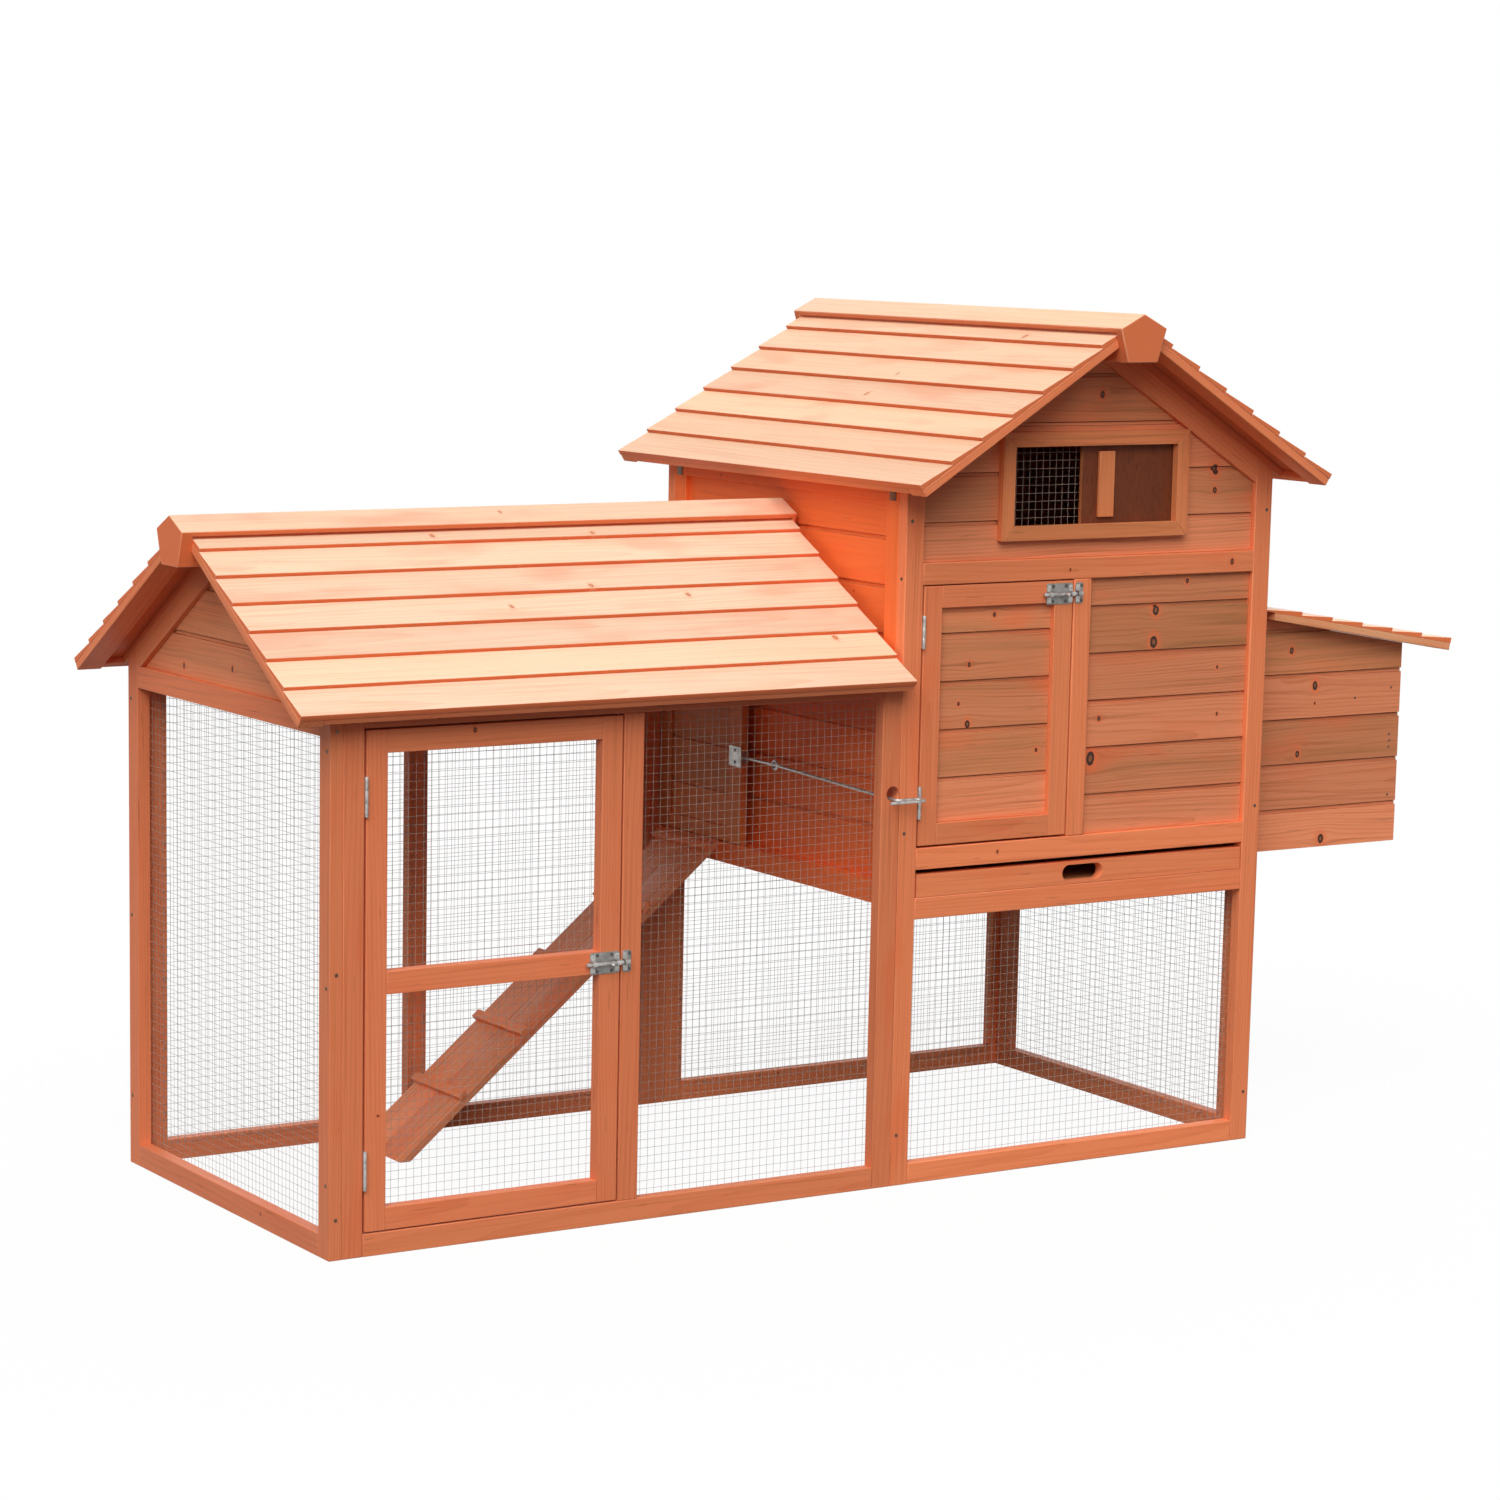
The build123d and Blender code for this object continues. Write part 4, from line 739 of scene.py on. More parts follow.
# Brighter, redder copy of the wall colours for the house's left wall and the pop door guides: painted bounce
# light from the sunlit run roof.
BOUNCE_LIT_FIR = StainedFir(
    name="bounce_lit_fir",
    pale=stain(246, 118, 58),
    deep=stain(226, 92, 40),
    olive=stain(206, 100, 48),
    flush=stain(248, 98, 44),
    worn_highlight=stain(250, 150, 96),
    # Painted shade on the upward ledges of the rebated boards.
    edge=stain(160, 58, 26),
    knot=stain(150, 70, 36),
    knot_rim=stain(84, 40, 22),
    ring_depth=0.3,
    fibre_depth=0.3,
    line_depth=0.7,
    line_dark=0.12,
    knot_chance=0.15,
)
# The roof colours are pale as painted highlight on the lit tops; the edge colour is that of the boards'
# sides.
ROOF_FIR = StainedFir(
    name="roof_fir",
    pale=stain(252, 214, 182),
    deep=stain(246, 176, 136),
    olive=stain(250, 200, 154),
    flush=stain(252, 172, 138),
    worn_highlight=stain(252, 222, 192),
    edge=stain(236, 122, 72),
    knot=stain(226, 158, 116),
    knot_rim=stain(190, 116, 76),
    ring_depth=0.4,
    line_depth=1.1,
    line_dark=0.16,
    flush_depth=0.85,
    worn_highlight_share=0.3,
    fleck_depth=0.25,
    knot_chance=0.35,
    knot_radius=(3.0 * MM, 7.0 * MM),
)
HIGH_ROOF_FIR = replace(
    ROOF_FIR,
    name="high_roof_fir",
    pale=stain(252, 206, 170),
    deep=stain(242, 168, 124),
    olive=stain(246, 188, 142),
    flush=stain(248, 166, 128),
    edge=stain(222, 118, 72),
)
UMBER_FIR = replace(
    BOUNCE_LIT_FIR,
    name="umber_fir",
    pale=stain(214, 120, 64),
    deep=stain(176, 88, 40),
    olive=stain(150, 90, 42),
    flush=stain(206, 92, 42),
    line_depth=1.1,
    line_dark=0.2,
)
TRIM_FIR = StainedFir(
    name="trim_fir",
    pale=stain(228, 136, 86),
    deep=stain(196, 104, 60),
    olive=stain(180, 116, 70),
    flush=stain(216, 104, 58),
    worn_highlight=stain(234, 154, 106),
    edge=stain(208, 108, 62),
    knot=stain(132, 74, 42),
    knot_rim=stain(84, 46, 26),
    ring_depth=0.4,
    worn_highlight_share=0.3,
    knot_chance=0.0,
)
SHUTTER_PLY = Plywood(
    name="shutter_ply",
    pale=stain(132, 66, 36),
    deep=stain(84, 38, 18),
    pore=stain(50, 22, 12),
    raw=stain(188, 112, 66),
)
PANEL_PLY = Plywood(
    name="panel_ply",
    pale=stain(196, 128, 84),
    deep=stain(160, 96, 58),
    pore=stain(120, 70, 42),
    raw=stain(190, 124, 82),
)
BRIGHT_ZINC = ZincPlate("bright_zinc", stain(190, 188, 184), stain(94, 92, 89), 0.32, metallic=0.6)
# Darker copy of the zinc for the bolts' flat plates: painted shade beside the bright straps and rod.
SHADED_PLATE_ZINC = ZincPlate("shaded_plate_zinc", stain(142, 140, 136), stain(84, 82, 79), 0.4, metallic=0.45)
# Dark brown steel; on the countersunk panel screws its darkness is partly painted shade in the countersinks.
DULL_STEEL = ZincPlate("dull_steel", stain(112, 84, 66), stain(64, 42, 32), 0.5, metallic=0.4)
# Wire zinc; its warm tint is painted reflection of the stained wood round it.
MESH_ZINC = ZincPlate("mesh_zinc", stain(170, 154, 142), stain(138, 124, 114), 0.6, metallic=0.0, shine=0.15)
# Near-black steel for the bolt and bracket screws: painted shadow in their recesses.
SHADOWED_SCREW_STEEL = ZincPlate("shadowed_screw_steel", stain(96, 92, 88), stain(48, 45, 42), 0.45, metallic=0.4)
COATED_PIN = ZincPlate("coated_pin", stain(240, 198, 166), stain(222, 172, 136), 0.6, metallic=0.0)


def front_knots(y: float, *knots: Place) -> list[tuple[Place, float]]:
    """Knots on a face that looks to the front, from place along, height and radius in millimetres."""
    return [((x, y, z), radius * MM) for x, z, radius in knots]


KNOTS_SEEN: tuple[tuple[Place, float], ...] = (
    *front_knots(
        HOUSE_BOARDS_Y,
        (0.459, 0.886, 8.5),
        (0.457, 0.836, 10.5),
        (0.589, 0.788, 3.0),
        (0.352, 0.718, 4.6),
        (0.592, 0.713, 3.0),
        (0.338, 0.654, 11.0),
        (0.521, 0.931, 4.5),
        (0.141, 0.893, 4.2),
        (0.095, 0.722, 6.5),
        (0.077, 0.753, 3.6),
        (0.230, 0.675, 4.0),
        (0.338, 1.230, 5.5),
        (0.569, 1.110, 9.5),
        (0.570, 1.080, 5.5),
    ),
    *front_knots(
        FRONT_FRAME_Y,
        (0.279, 0.960, 2.6),
        (0.604, 0.957, 5.0),
        (-0.843, 0.785, 3.4),
    ),
    ((RUN_GABLE_X, 0.161, 0.812), 4.4 * MM),
    ((RUN_GABLE_X, -0.009, 0.823), 4.4 * MM),
    ((RUN_GABLE_X, -0.140, 0.803), 4.2 * MM),
    *front_knots(
        NEST_FRONT_Y,
        (0.786, 0.803, 5.6),
        (0.839, 0.741, 7.5),
        (0.840, 0.716, 2.8),
        (0.807, 0.626, 6.0),
        (0.865, 0.479, 9.0),
    ),
)


def solids_of(bm: Mesh) -> list[list[Corner]]:
    """Group a mesh's corners by the closed solids that they belong to.

    Args:
        bm: The mesh.

    Returns:
        One list of corners for each solid, in a fixed order.
    """
    seen: set[Corner] = set()
    groups = []
    for first in bm.verts:
        if first in seen:
            continue
        seen.add(first)
        group = [first]
        for corner in group:
            for edge in corner.link_edges:
                other = edge.other_vert(corner)
                if other not in seen:
                    seen.add(other)
                    group.append(other)
        groups.append(group)
    return groups


def span(points: Sequence[Vector]) -> Box:
    """Lowest and highest corner of the box round some points."""
    low = Vector(min(point[axis] for point in points) for axis in AXES)
    return low, Vector(max(point[axis] for point in points) for axis in AXES)


def box_of(corners: Iterable[Corner]) -> Box:
    """Lowest and highest corner of the box round some corners of a mesh."""
    return span([corner.co for corner in corners])


def weld(bm: Mesh) -> Mesh:
    """Join doubled corners, and the faces that lie in one flat side.

    Args:
        bm: The mesh to work on.

    Returns:
        The same mesh.
    """
    bmesh.ops.remove_doubles(bm, verts=bm.verts[:], dist=WELD)
    bmesh.ops.dissolve_limit(bm, angle_limit=FLAT_ANGLE, verts=bm.verts[:], edges=bm.edges[:])
    return bm


def welded(node: str) -> Mesh:
    """Copy a node's solids as closed meshes with one face for each flat side.

    Args:
        node: Name of the node.

    Returns:
        The new mesh.
    """
    bm = bmesh.new()
    bm.from_mesh(frame["nodes"][node].data)
    return weld(bm)


def boxes_of(node: str) -> list[Box]:
    """Find the boxes round a node's solids.

    Args:
        node: Name of the node.

    Returns:
        Lowest and highest corner of each solid.
    """
    bm = welded(node)
    boxes = [box_of(corners) for corners in solids_of(bm)]
    bm.free()
    return boxes


def ease_edges(bm: Mesh, radius: float, segments: int, rng: random.Random | None) -> None:
    """Round every sharp edge and mark the new faces in the layer named arris.

    Args:
        bm: The mesh to work on.
        radius: Width of the rounding.
        segments: Faces across the rounding.
        rng: Draws that vary the width from solid to solid, if any.
    """
    narrow, wide = 0.75, 1.35
    quarter_round = 0.5
    layer = bm.faces.layers.float.get("arris") or bm.faces.layers.float.new("arris")
    groups = []
    for corners in solids_of(bm):
        edges = {edge for corner in corners for edge in corner.link_edges}
        sharp = [e for e in edges if e.is_manifold and e.calc_face_angle() > SHARP_ANGLE]
        groups.append(sorted(sharp, key=lambda edge: edge.index))
    for sharp in groups:
        width = radius * (rng.uniform(narrow, wide) if rng else 1.0)
        made = bmesh.ops.bevel(
            bm,
            geom=sharp,
            offset=width,
            offset_type="OFFSET",
            segments=segments,
            profile=quarter_round,
            affect="EDGES",
            clamp_overlap=True,
        )
        for face in made["faces"]:
            face[layer] = 1.0
            face.smooth = True


def stand(name: str, data: bpy.types.ID) -> Piece:
    """Put a new object in the scene.

    Args:
        name: Its name.
        data: Its mesh, lamp or camera.

    Returns:
        The object.
    """
    made = bpy.data.objects.new(name, data)
    bpy.context.scene.collection.objects.link(made)
    return made


def add_piece(name: str, bm: Mesh, finish: Finish, slot: Slot, node: str) -> Piece:
    """Turn a finished mesh into a piece that rides on the body of a node.

    Args:
        name: The piece's name.
        bm: Its mesh, which is freed.
        finish: What it is dressed in.
        slot: The record's slot for it; not used.
        node: The node whose body carries it.

    Returns:
        The new piece.
    """
    body = body_of(node)
    mesh = bpy.data.meshes.new(name)
    bm.to_mesh(mesh)
    bm.free()
    mesh.materials.append(finish.material())
    piece = stand(name, mesh)
    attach(piece, body)
    LOG.info("%s: %d faces on %s", name, len(mesh.polygons), body)
    return piece


def add_metal(name: str, bm: Mesh, finish: Finish, node: str, slot: Slot = Slot.ZINC) -> Piece:
    """Turn a finished mesh into a metal piece with smooth round faces.

    Args:
        name: The piece's name.
        bm: Its mesh, which is freed.
        finish: What it is dressed in.
        node: The node whose body carries it.
        slot: The record's slot for it.

    Returns:
        The new piece.
    """
    for face in bm.faces:
        face.smooth = True
    piece = add_piece(name, bm, finish, slot, node)
    piece.data.set_sharp_from_angle(angle=SMOOTH_ANGLE)
    return piece


def add_block(bm: Mesh, low: Vector, high: Vector) -> None:
    """Add a plain block between two corners to a mesh."""
    size = Matrix.Diagonal((*(high - low), 1.0))
    bmesh.ops.create_cube(bm, size=1.0, matrix=Matrix.Translation((low + high) / 2) @ size)


def carve(bm: Mesh, cutters: Mesh) -> Mesh:
    """Take the cutters away from a mesh.

    Args:
        bm: The solids, which are freed.
        cutters: What is cut away, also freed.

    Returns:
        The cut solids.
    """
    objects = []
    for name, part in (("carve_body", bm), ("carve_tool", cutters)):
        mesh = bpy.data.meshes.new(name)
        part.to_mesh(mesh)
        part.free()
        objects.append(stand(name, mesh))
    work, tool = objects
    cut = work.modifiers.new("cut", "BOOLEAN")
    cut.operation = "DIFFERENCE"
    cut.solver = "EXACT"
    cut.object = tool
    bpy.context.view_layer.update()
    shaped = work.evaluated_get(bpy.context.evaluated_depsgraph_get())
    out = bmesh.new()
    out.from_mesh(shaped.to_mesh())
    shaped.to_mesh_clear()
    for made in objects:
        mesh = made.data
        bpy.data.objects.remove(made)
        bpy.data.meshes.remove(mesh)
    return weld(out)


@dataclass(frozen=True)
class Rebate:
    """The lip along a board's top edge that shows as a shadow line below the next board."""

    inside: Vector
    height: float = 5.6 * MM
    depth: float = 3.4 * MM
    over: float = 0.3 * MM
    side_room: float = 4.0 * MM
    next_gap: float = 2.0 * MM
    thickest: float = 12.0 * MM

    def cut(self, bm: Mesh) -> Mesh:
        """Cut the lip in each board that has another one above it.

        Args:
            bm: The boards, which are freed.

        Returns:
            The rebated boards.
        """
        boxes = [box_of(corners) for corners in solids_of(bm)]
        cutters = bmesh.new()
        for low, high in boxes:
            size = high - low
            axis = X if size.x < size.y else Y
            if size[axis] > self.thickest:
                continue
            if not any(self.stacked(low, high, other, axis) for other in boxes):
                continue
            start = low - Vector((1, 1, 0)) * self.side_room
            end = high + Vector((1, 1, 0)) * self.side_room
            if (low + high)[axis] / 2 > self.inside[axis]:
                start[axis] = high[axis] - self.depth
            else:
                end[axis] = low[axis] + self.depth
            start.z = high.z - self.height
            end.z = high.z + self.over
            add_block(cutters, start, end)
        return carve(bm, cutters)

    def stacked(self, low: Vector, high: Vector, other: Box, axis: int) -> bool:
        """Tell whether another board of the same wall stands on this one.

        Args:
            low: Lowest corner of this board.
            high: Highest corner of this board.
            other: Both corners of the other board.
            axis: Axis through the wall.

        Returns:
            Whether it does.
        """
        gap = other[0].z - high.z
        same_wall = abs(other[0][axis] - low[axis]) < self.over
        along = 1 - axis
        beside = other[0][along] < high[along] and other[1][along] > low[along]
        return same_wall and beside and 0 < gap < self.next_gap


@dataclass(frozen=True)
class RidgeSeam:
    """The dark seam in both sides of a ridge beam, just above the first course of boards."""

    axis: int
    boards: str
    below_top: float = 29.2 * MM
    height: float = 4.2 * MM
    depth: float = 9.0 * MM
    over: float = 5.0 * MM

    def cut(self, bm: Mesh) -> Mesh:
        """Cut the seam as far as the boards reach.

        Args:
            bm: The beam, which is freed.

        Returns:
            The cut beam.
        """
        low, high = box_of(bm.verts)
        first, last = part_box(self.boards)
        across = 1 - self.axis
        cutters = bmesh.new()
        for edge, sign in ((low[across], -1), (high[across], 1)):
            start = low.copy()
            end = high.copy()
            start[self.axis] = first[self.axis]
            end[self.axis] = last[self.axis]
            inner = edge - sign * self.depth
            start[across] = min(inner, edge + sign * self.over)
            end[across] = max(inner, edge + sign * self.over)
            end.z = high.z - self.below_top
            start.z = end.z - self.height
            add_block(cutters, start, end)
        return carve(bm, cutters)


@dataclass(frozen=True)
class TimberCut:
    """How the solids of one timber node are cut again."""

    node: str
    finish: StainedFir | Plywood
    slot: Slot
    arris: float = 0.8 * MM
    segments: int = 2
    grain: Grain = Grain.LONGEST
    rebate: Rebate | RidgeSeam | None = None
    # Whether the tops are painted pale as a highlight while the sides take the edge colour.
    highlight_painted_top: bool = False

    PITH_ACROSS = 70 * MM
    PITH_DEPTH = (18 * MM, 95 * MM)
    SEED_SPREAD = 40.0
    KNOTS = 2
    KNOT_ALONG = 0.9
    KNOT_ACROSS = 0.75
    KNOT_ROOM = 4 * MM
    FAR_KNOT = (900.0, 900.0, 0.0)
    TOP_EASE = (0.72, 0.3)
    SKIN = 0.4
    OLIVE_POWER = 2.5
    LENGTH_DIGITS = 6
    AREA_DIGITS = 9

    def build(self) -> Piece:
        """Cut the solids and let the piece stand for the node.

        Returns:
            The dressed piece.
        """
        piece = self.dressed(f"{self.node}.fir", self.node)
        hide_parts(self.node)
        return piece

    def shape(self) -> Mesh:
        """Copy the node's solids, with the rebate or seam that they need."""
        bm = welded(self.node)
        return self.rebate.cut(bm) if self.rebate else bm

    def dressed(self, name: str, seed: str) -> Piece:
        """Ease the shape's edges and lay its grain.

        Args:
            name: The piece's name.
            seed: What its random draws start from.

        Returns:
            The dressed piece.
        """
        rng = random.Random(seed)
        bm = self.shape()
        bm.verts.index_update()
        bm.edges.index_update()
        ease_edges(bm, self.arris, self.segments, rng)
        self.lay_grain(bm, rng)
        return add_piece(name, bm, self.finish, self.slot, self.node)

    def axes(self, corners: Sequence[Corner]) -> Matrix:
        """Find a solid's own directions.

        Args:
            corners: The solid's corners.

        Returns:
            Rows along the grain, across it and through the thickness.
        """
        edges = {edge for corner in corners for edge in corner.link_edges}
        longest = max(edges, key=lambda edge: (round(edge.calc_length(), self.LENGTH_DIGITS), -edge.index))
        along = (longest.verts[1].co - longest.verts[0].co).normalized()
        if self.grain is Grain.UPRIGHT:
            along = UP.copy()
        faces = {face for corner in corners for face in corner.link_faces}
        flat = [face for face in faces if abs(face.normal.dot(along)) < self.SKIN]
        widest = max(flat, key=lambda face: (round(face.calc_area(), self.AREA_DIGITS), -face.index))
        normal = (widest.normal - along * widest.normal.dot(along)).normalized()
        return Matrix((along, normal.cross(along), normal))

    def lay_grain(self, bm: Mesh, rng: random.Random) -> None:
        """Write each solid's grain, pith, tone and knots into the mesh.

        Args:
            bm: The cut mesh.
            rng: Draws for what differs from solid to solid.
        """
        names = ("grain", "pith", "tone", "knot_a", "knot_b")
        layers = {name: bm.verts.layers.float_vector.new(name) for name in names}
        edge = bm.faces.layers.float.new("edge")
        bm.verts.index_update()
        bm.edges.index_update()
        bm.faces.index_update()
        bm.normal_update()
        for corners in solids_of(bm):
            axes = self.axes(corners)
            local = [axes @ corner.co for corner in corners]
            low, high = span(local)
            centre = (low + high) / 2
            shared = {
                "pith": (
                    rng.uniform(0, self.SEED_SPREAD),
                    rng.uniform(-self.PITH_ACROSS, self.PITH_ACROSS),
                    rng.uniform(*self.PITH_DEPTH),
                ),
                "tone": (rng.uniform(-1, 1), rng.random() ** self.OLIVE_POWER, rng.random()),
            }
            shared["knot_a"], shared["knot_b"] = self.knots(axes, centre, (high - low) / 2, rng)
            for corner, point in zip(corners, local):
                corner[layers["grain"]] = point - centre
                for name, value in shared.items():
                    corner[layers[name]] = value
            for face in {face for corner in corners for face in corner.link_faces}:
                face[edge] = self.edge_and_shade_share(face.normal, axes[Z])

    def edge_and_shade_share(self, normal: Vector, through: Vector) -> float:
        """Find how far a face shows the edge colour: raw ply on a sheet's edges, painted shade on a rebated
        board's upward ledges, and the side colour under a roof's pale painted-highlight top.

        Args:
            normal: The face's own direction.
            through: The direction through the solid's thickness.

        Returns:
            Nought on a full face, one on an edge.
        """
        if isinstance(self.finish, Plywood):
            return 1.0 if abs(normal.dot(through)) < self.SKIN else 0.0
        # A rebated board's upward ledges take the edge colour as painted shade.
        if isinstance(self.rebate, Rebate):
            return 1.0 if normal.z > self.SKIN else 0.0
        # Roof tops keep the pale colours as painted highlight; steeper faces ease into the edge colour.
        if not self.highlight_painted_top:
            return 0.0
        top, ease = self.TOP_EASE
        return min(1.0, max(0.0, (top - normal.z) / ease))

    def knots(self, axes: Matrix, centre: Vector, half: Vector, rng: random.Random) -> list[Place]:
        """Choose up to two knots for one solid.

        Args:
            axes: The solid's own directions.
            centre: Its middle, in those directions.
            half: Half its size, in those directions.
            rng: Draws for the knots that are not listed.

        Returns:
            Two sets of place along, place across and radius.
        """
        found: list[Place] = []
        for place, radius in KNOTS_SEEN:
            offset = axes @ Vector(place) - centre
            if all(abs(offset[axis]) < half[axis] + self.KNOT_ROOM for axis in AXES):
                found.append((offset.x, offset.y, radius))
        seen = len(found)
        for _ in range(self.KNOTS):
            chance = rng.random()
            along = rng.uniform(-self.KNOT_ALONG, self.KNOT_ALONG) * half.x
            across = rng.uniform(-self.KNOT_ACROSS, self.KNOT_ACROSS) * half.y
            radius = rng.uniform(*self.finish.knot_radius)
            if chance < self.finish.knot_chance and not seen:
                found.append((along, across, radius))
        found += [self.FAR_KNOT] * self.KNOTS
        return found[: self.KNOTS]


@dataclass(frozen=True)
class Strips(TimberCut):
    """Thin strips that only the dressed model has, on the body that carries a node."""

    name: str = ""
    boxes: tuple[Box, ...] = ()

    def build(self) -> Piece:
        """Cut the strips."""
        return self.dressed(self.name, self.name)

    def shape(self) -> Mesh:
        """Make a block for each strip.

        Returns:
            The blocks.
        """
        bm = bmesh.new()
        for low, high in self.boxes:
            add_block(bm, low, high)
        return bm


@dataclass(frozen=True)
class MetalCopy:
    """Copies a metal node with eased edges and smooth round faces."""

    node: str
    arris: float = 0.22 * MM
    finish: ZincPlate = BRIGHT_ZINC
    segments: int = 2

    def build(self) -> Piece:
        """Make the piece that stands for the node.

        Returns:
            The dressed piece.
        """
        bm = welded(self.node)
        bm.edges.index_update()
        ease_edges(bm, self.arris, self.segments, None)
        piece = add_metal(f"{self.node}.zinc", bm, self.finish, self.node)
        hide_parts(self.node)
        return piece


def circle(radius: float, sides: int) -> Outline:
    """Points of a regular outline round the origin."""
    turns = [2 * math.pi * index / sides for index in range(sides)]
    return [(radius * math.cos(turn), radius * math.sin(turn)) for turn in turns]


def rounded_plate(width: float, height: float, radius: float, steps: int = 4) -> Outline:
    """Outline of a plate with rounded corners, centred on the origin.

    Args:
        width: Size along the first axis.
        height: Size along the second axis.
        radius: Radius of the corners.
        steps: Straight runs in each corner.

    Returns:
        The outline's points.
    """
    quarter = math.pi / 2
    corners = ((1, 1), (-1, 1), (-1, -1), (1, -1))
    points = []
    for index, (right, up) in enumerate(corners):
        for step in range(steps + 1):
            turn = quarter * (index + step / steps)
            x = right * (width / 2 - radius) + radius * math.cos(turn)
            y = up * (height / 2 - radius) + radius * math.sin(turn)
            points.append((x, y))
    return points


def facing(origin: Vector, across: Vector, out: Vector) -> Matrix:
    """Frame with its first axis across a face and its third axis out of it."""
    rows = [vector.normalized() for vector in (across, out.cross(across), out)]
    return Matrix.Translation(origin) @ Matrix(rows).transposed().to_4x4()


class Forge:
    """Collects the faces of one metal piece."""

    SCREW_R = 3.0 * MM
    SCREW_RIM = 0.35 * MM
    SCREW_H = 0.75 * MM
    SCREW_SIDES = 16
    CROSS_ARMS = 4
    CROSS_REACH = 1.7 * MM
    CROSS_HALF = 0.42 * MM
    CROSS_DEPTH = 0.55 * MM
    CROSS_SHRINK = 0.55
    PIN_SHOULDER = 0.7
    PIN_SIDES = 10

    def __init__(self) -> None:
        """Start with no faces."""
        self.bm = bmesh.new()

    def loop(self, outline: Outline, height: float, place: Matrix) -> list[Corner]:
        """Add an outline's corners at one height of a frame."""
        return [self.bm.verts.new(place @ Vector((x, y, height))) for x, y in outline]

    def bridge(self, first: Sequence[Corner], second: Sequence[Corner]) -> None:
        """Join two loops of the same length with a band of faces.

        Args:
            first: One loop.
            second: The next loop.
        """
        count = len(first)
        for index in range(count):
            after = (index + 1) % count
            self.bm.faces.new((first[index], first[after], second[after], second[index]))

    def skin(self, rings: Sequence[list[Corner]]) -> None:
        """Join loops of the same length in order, and close both ends.

        Args:
            rings: The loops.
        """
        for first, second in zip(rings, rings[1:]):
            self.bridge(first, second)
        self.bm.faces.new(rings[0][::-1])
        self.bm.faces.new(rings[-1])

    def slab(self, outline: Outline, low: float, high: float, place: Matrix) -> None:
        """Add an outline drawn out between two heights of a frame."""
        self.skin([self.loop(outline, height, place) for height in (low, high)])

    def lathe(self, profile: Sequence[Pair], place: Matrix, sides: int) -> None:
        """Add a form turned about a frame's third axis, from the radius and height of each ring."""
        self.skin([self.loop(circle(radius, sides), height, place) for radius, height in profile])

    def tube(self, path: Sequence[Vector], radius: float, sides: int) -> None:
        """Add a round wire along a path.

        Args:
            path: Points on its middle line.
            radius: Half its thickness.
            sides: Faces round it.
        """
        rings = []
        side = (path[1] - path[0]).normalized().orthogonal().normalized()
        for index, point in enumerate(path):
            before = path[max(index - 1, 0)]
            after = path[min(index + 1, len(path) - 1)]
            heading = (after - before).normalized()
            side = (side - heading * side.dot(heading)).normalized()
            turn = Matrix((side, heading.cross(side), heading)).transposed().to_4x4()
            rings.append(self.loop(circle(radius, sides), 0.0, Matrix.Translation(point) @ turn))
        self.skin(rings)

    def cross(self, reach: float, half: float) -> Outline:
        """Draw a cross with equal arms.

        Args:
            reach: Length of an arm from the middle.
            half: Half the width of an arm.

        Returns:
            The outline's points.
        """
        arm = [(reach, -half), (reach, half), (half, half)]
        points = []
        for _ in range(self.CROSS_ARMS):
            points += arm
            arm = [(-y, x) for x, y in arm]
        return points

    def screw(self, place: Matrix) -> None:
        """Add a screw head with a cross recess.

        Args:
            place: Frame on the face, its third axis outward.
        """
        foot = self.loop(circle(self.SCREW_R, self.SCREW_SIDES), 0.0, place)
        shoulder = self.loop(circle(self.SCREW_R - self.SCREW_RIM, self.SCREW_SIDES), self.SCREW_H, place)
        self.bridge(foot, shoulder)
        self.bm.faces.new(foot[::-1])
        recess = self.loop(self.cross(self.CROSS_REACH, self.CROSS_HALF), self.SCREW_H, place)
        small = self.cross(self.CROSS_REACH * self.CROSS_SHRINK, self.CROSS_HALF * self.CROSS_SHRINK)
        floor = self.loop(small, self.SCREW_H - self.CROSS_DEPTH, place)
        self.bridge(recess, floor)
        self.bm.faces.new(floor)
        edges = []
        for ring in (shoulder, recess):
            for first, second in zip(ring, ring[1:] + ring[:1]):
                edges.append(self.bm.edges.get((first, second)) or self.bm.edges.new((first, second)))
        bmesh.ops.triangle_fill(self.bm, use_beauty=True, edges=edges)

    def pin(self, place: Matrix, radius: float, height: float) -> None:
        """Add the low domed head of a nail to a face, in a frame whose third axis points outward."""
        profile = ((radius, -height), (radius, height / 2), (radius * self.PIN_SHOULDER, height))
        self.lathe(profile, place, self.PIN_SIDES)

    def finish(self, name: str, finish: Finish, node: str, slot: Slot = Slot.ZINC) -> Piece:
        """Close the piece and let it ride with a node.

        Args:
            name: The piece's name.
            finish: Its finish.
            node: The node whose body carries it.
            slot: The record's slot for it.

        Returns:
            The piece.
        """
        bmesh.ops.recalc_face_normals(self.bm, faces=self.bm.faces[:])
        return add_metal(name, self.bm, finish, node, slot)


